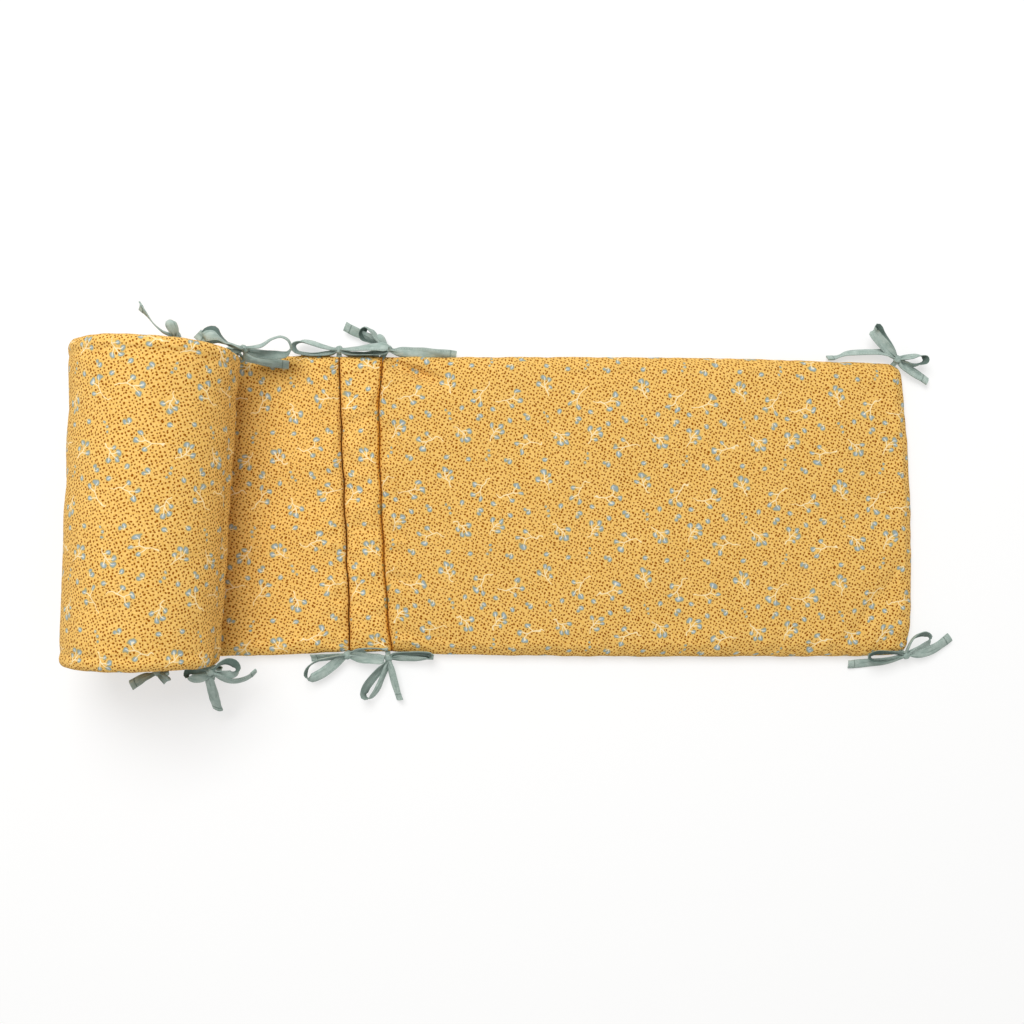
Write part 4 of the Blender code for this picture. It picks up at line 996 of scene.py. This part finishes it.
def bow(name, bow_of, seed):
    """All of one tie in one mesh, with its strands' lengths."""
    column, row, up, turned_by = bow_of["knot"]
    knot = from_picture(column, row, up)
    points, faces, flats, painted_shades_and_hems = [], [], [], []
    total = 0.0

    def grid(upper, lower, flat, painted_shade_and_hem):
        base = sum(len(p) for p in points)
        n, m = upper.shape[:2]
        points.append(np.concatenate([upper.reshape(-1, 3), lower.reshape(-1, 3)]))
        flats.append(np.concatenate([flat.reshape(-1, 2)] * 2))
        painted_shades_and_hems.append(np.concatenate([side.reshape(-1) for side in painted_shade_and_hem]))
        a = np.arange(n * m).reshape(n, m) + base
        b = a + n * m
        faces.extend(np.concatenate([
            np.stack([a[:-1, :-1], a[1:, :-1], a[1:, 1:], a[:-1, 1:]], -1).reshape(-1, 4),
            np.stack([b[:-1, :-1], b[:-1, 1:], b[1:, 1:], b[1:, :-1]], -1).reshape(-1, 4),
            np.stack([a[0, :-1], a[0, 1:], b[0, 1:], b[0, :-1]], -1),
            np.stack([a[-1, 1:], a[-1, :-1], b[-1, :-1], b[-1, 1:]], -1),
            np.stack([a[1:, 0], a[:-1, 0], b[:-1, 0], b[1:, 0]], -1),
            np.stack([a[:-1, -1], a[1:, -1], b[1:, -1], b[:-1, -1]], -1),
        ]).tolist())

    for i, (kind, heading, tip, table) in enumerate(bow_of["strands"]):
        upper, lower, flat, painted_shade_and_hem, length = tape_strand(kind, heading, tip, knot, table, seed + i)
        grid(upper, lower, flat + np.array([total, 0.0]), painted_shade_and_hem)
        total += length
    # Two tapes from the seam, one on the other.
    root = from_picture(*bow_of["root"])
    way = knot - root
    across = np.cross(way, [0, 0, 1.0])
    if np.linalg.norm(across) < 1e-4:
        across = np.array([1.0, 0, 0])
    across /= np.linalg.norm(across)
    face = np.cross(across, way)
    face /= np.linalg.norm(face)
    t = np.linspace(0, 1, 8)[:, None, None]
    s = np.linspace(-1, 1, 6)[None, :, None]
    for level in (-1, 1):
        width = TAPE * (0.50 - 0.12 * t)
        middle = root + way * t + across * s * width / 2 + face * (level * 0.00062 + 0.0005 * np.sin(s * 5 + level) * t)
        half = face * TAPE_THICK * 0.42
        flat = np.stack([np.broadcast_to(t[..., 0] * np.linalg.norm(way), middle.shape[:2]) + total,
                         np.broadcast_to(s[..., 0] * TAPE / 2, middle.shape[:2])], -1)
        # Painted shade over both tapes, as they run under the knot to the seam.
        grid(middle + half, middle - half, flat, [np.full(middle.shape[:2], 0.4)] * 2)
        total += float(np.linalg.norm(way))
    base = sum(len(p) for p in points)
    skin, x, around = knot_skin(knot, turned_by, seed)
    n, m = skin.shape[:2]
    points.append(skin.reshape(-1, 3))
    flats.append(np.stack([np.broadcast_to(around * 0.004, skin.shape[:2]) + total, x], -1).reshape(-1, 2))
    # The knot is darkened a little all over through the seam attribute.
    painted_shades_and_hems.append(np.full(n * m, 0.2))
    for i in range(n - 1):
        for j in range(m):
            faces.append([base + i * m + j, base + (i + 1) * m + j, base + (i + 1) * m + (j + 1) % m, base + i * m + (j + 1) % m])
    for i, turn in ((0, 1), (n - 1, -1)):
        faces.append([base + i * m + j for j in range(m)][::turn])
    mesh = bpy.data.meshes.new(name)
    mesh.from_pydata(np.concatenate(points).tolist(), [], faces)
    flat = np.concatenate(flats)
    layer = mesh.uv_layers.new(name="cloth_flat")
    loops = np.zeros(len(mesh.loops), int)
    mesh.loops.foreach_get("vertex_index", loops)
    layer.data.foreach_set("uv", flat[loops].reshape(-1))
    painted_shade_and_hem = mesh.attributes.new("seam", "FLOAT", "POINT")
    painted_shade_and_hem.data.foreach_set("value", np.concatenate(painted_shades_and_hems).astype(np.float32))
    work = bmesh.new()
    work.from_mesh(mesh)
    bmesh.ops.recalc_face_normals(work, faces=work.faces[:])
    work.to_mesh(mesh)
    work.free()
    mesh.shade_smooth()
    mesh.set_sharp_from_angle(angle=math.radians(60))
    made = piece(name, mesh, tape)
    return made, total


for i, (node, bow_of) in enumerate(BOWS.items()):
    made, length = bow(node + "_tape", bow_of, 100 + 10 * i)
    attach(made, "root")
    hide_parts(node)

# ------------------------------------------------------------------ floor and light
mesh = bpy.data.meshes.new("floor")
mesh.from_pydata([(-12, -12, 0), (12, -12, 0), (12, 12, 0), (-12, 12, 0)], [], [[0, 1, 2, 3]])
paper = Nodes("white_paper")
paper.shader.inputs["Base Color"].default_value = (0.40, 0.40, 0.40, 1.0)
paper.shader.inputs["Emission Color"].default_value = (1.0, 1.0, 1.0, 1.0)
paper.shader.inputs["Emission Strength"].default_value = 0.57
paper.shader.inputs["Roughness"].default_value = 0.9
paper.shader.inputs["Specular IOR Level"].default_value = 0.05
floor = piece("floor", mesh, paper.material)

world = bpy.data.worlds.new("studio")
world.use_nodes = True
world.node_tree.nodes["Background"].inputs["Color"].default_value = (1.0, 0.99, 0.965, 1.0)
world.node_tree.nodes["Background"].inputs["Strength"].default_value = 0.50
bpy.context.scene.world = world


def area_light(name, at, aim, size, watts, colour=(1, 1, 1)):
    data = bpy.data.lights.new(name, "AREA")
    data.shape, data.size, data.size_y = "RECTANGLE", size[0], size[1]
    data.energy, data.color = watts, colour
    lamp = bpy.data.objects.new(name, data)
    lamp.location = at
    lamp.rotation_euler = (Vector(aim) - Vector(at)).to_track_quat("-Z", "Y").to_euler()
    bpy.context.scene.collection.objects.link(lamp)
    return lamp


area_light("key", (-0.50, 1.40, 2.60), (0.0, 0.0, 0.0), (1.7, 1.7), 73.0)

camera = bpy.data.cameras.new("camera")
camera.sensor_width = 36.0
camera.lens = PIXELS_PER_RADIAN * 36.0 / 1024.0
camera.shift_y = -4.0 / 1024.0
camera.clip_start, camera.clip_end = 0.01, 50.0
eye = bpy.data.objects.new("camera", camera)
eye.location = (0.0, 0.0, CAMERA_UP)
bpy.context.scene.collection.objects.link(eye)
bpy.context.scene.camera = eye
bpy.context.scene.view_settings.view_transform = "Standard"
bpy.context.scene.view_settings.look = "None"

bpy.context.view_layer.update()
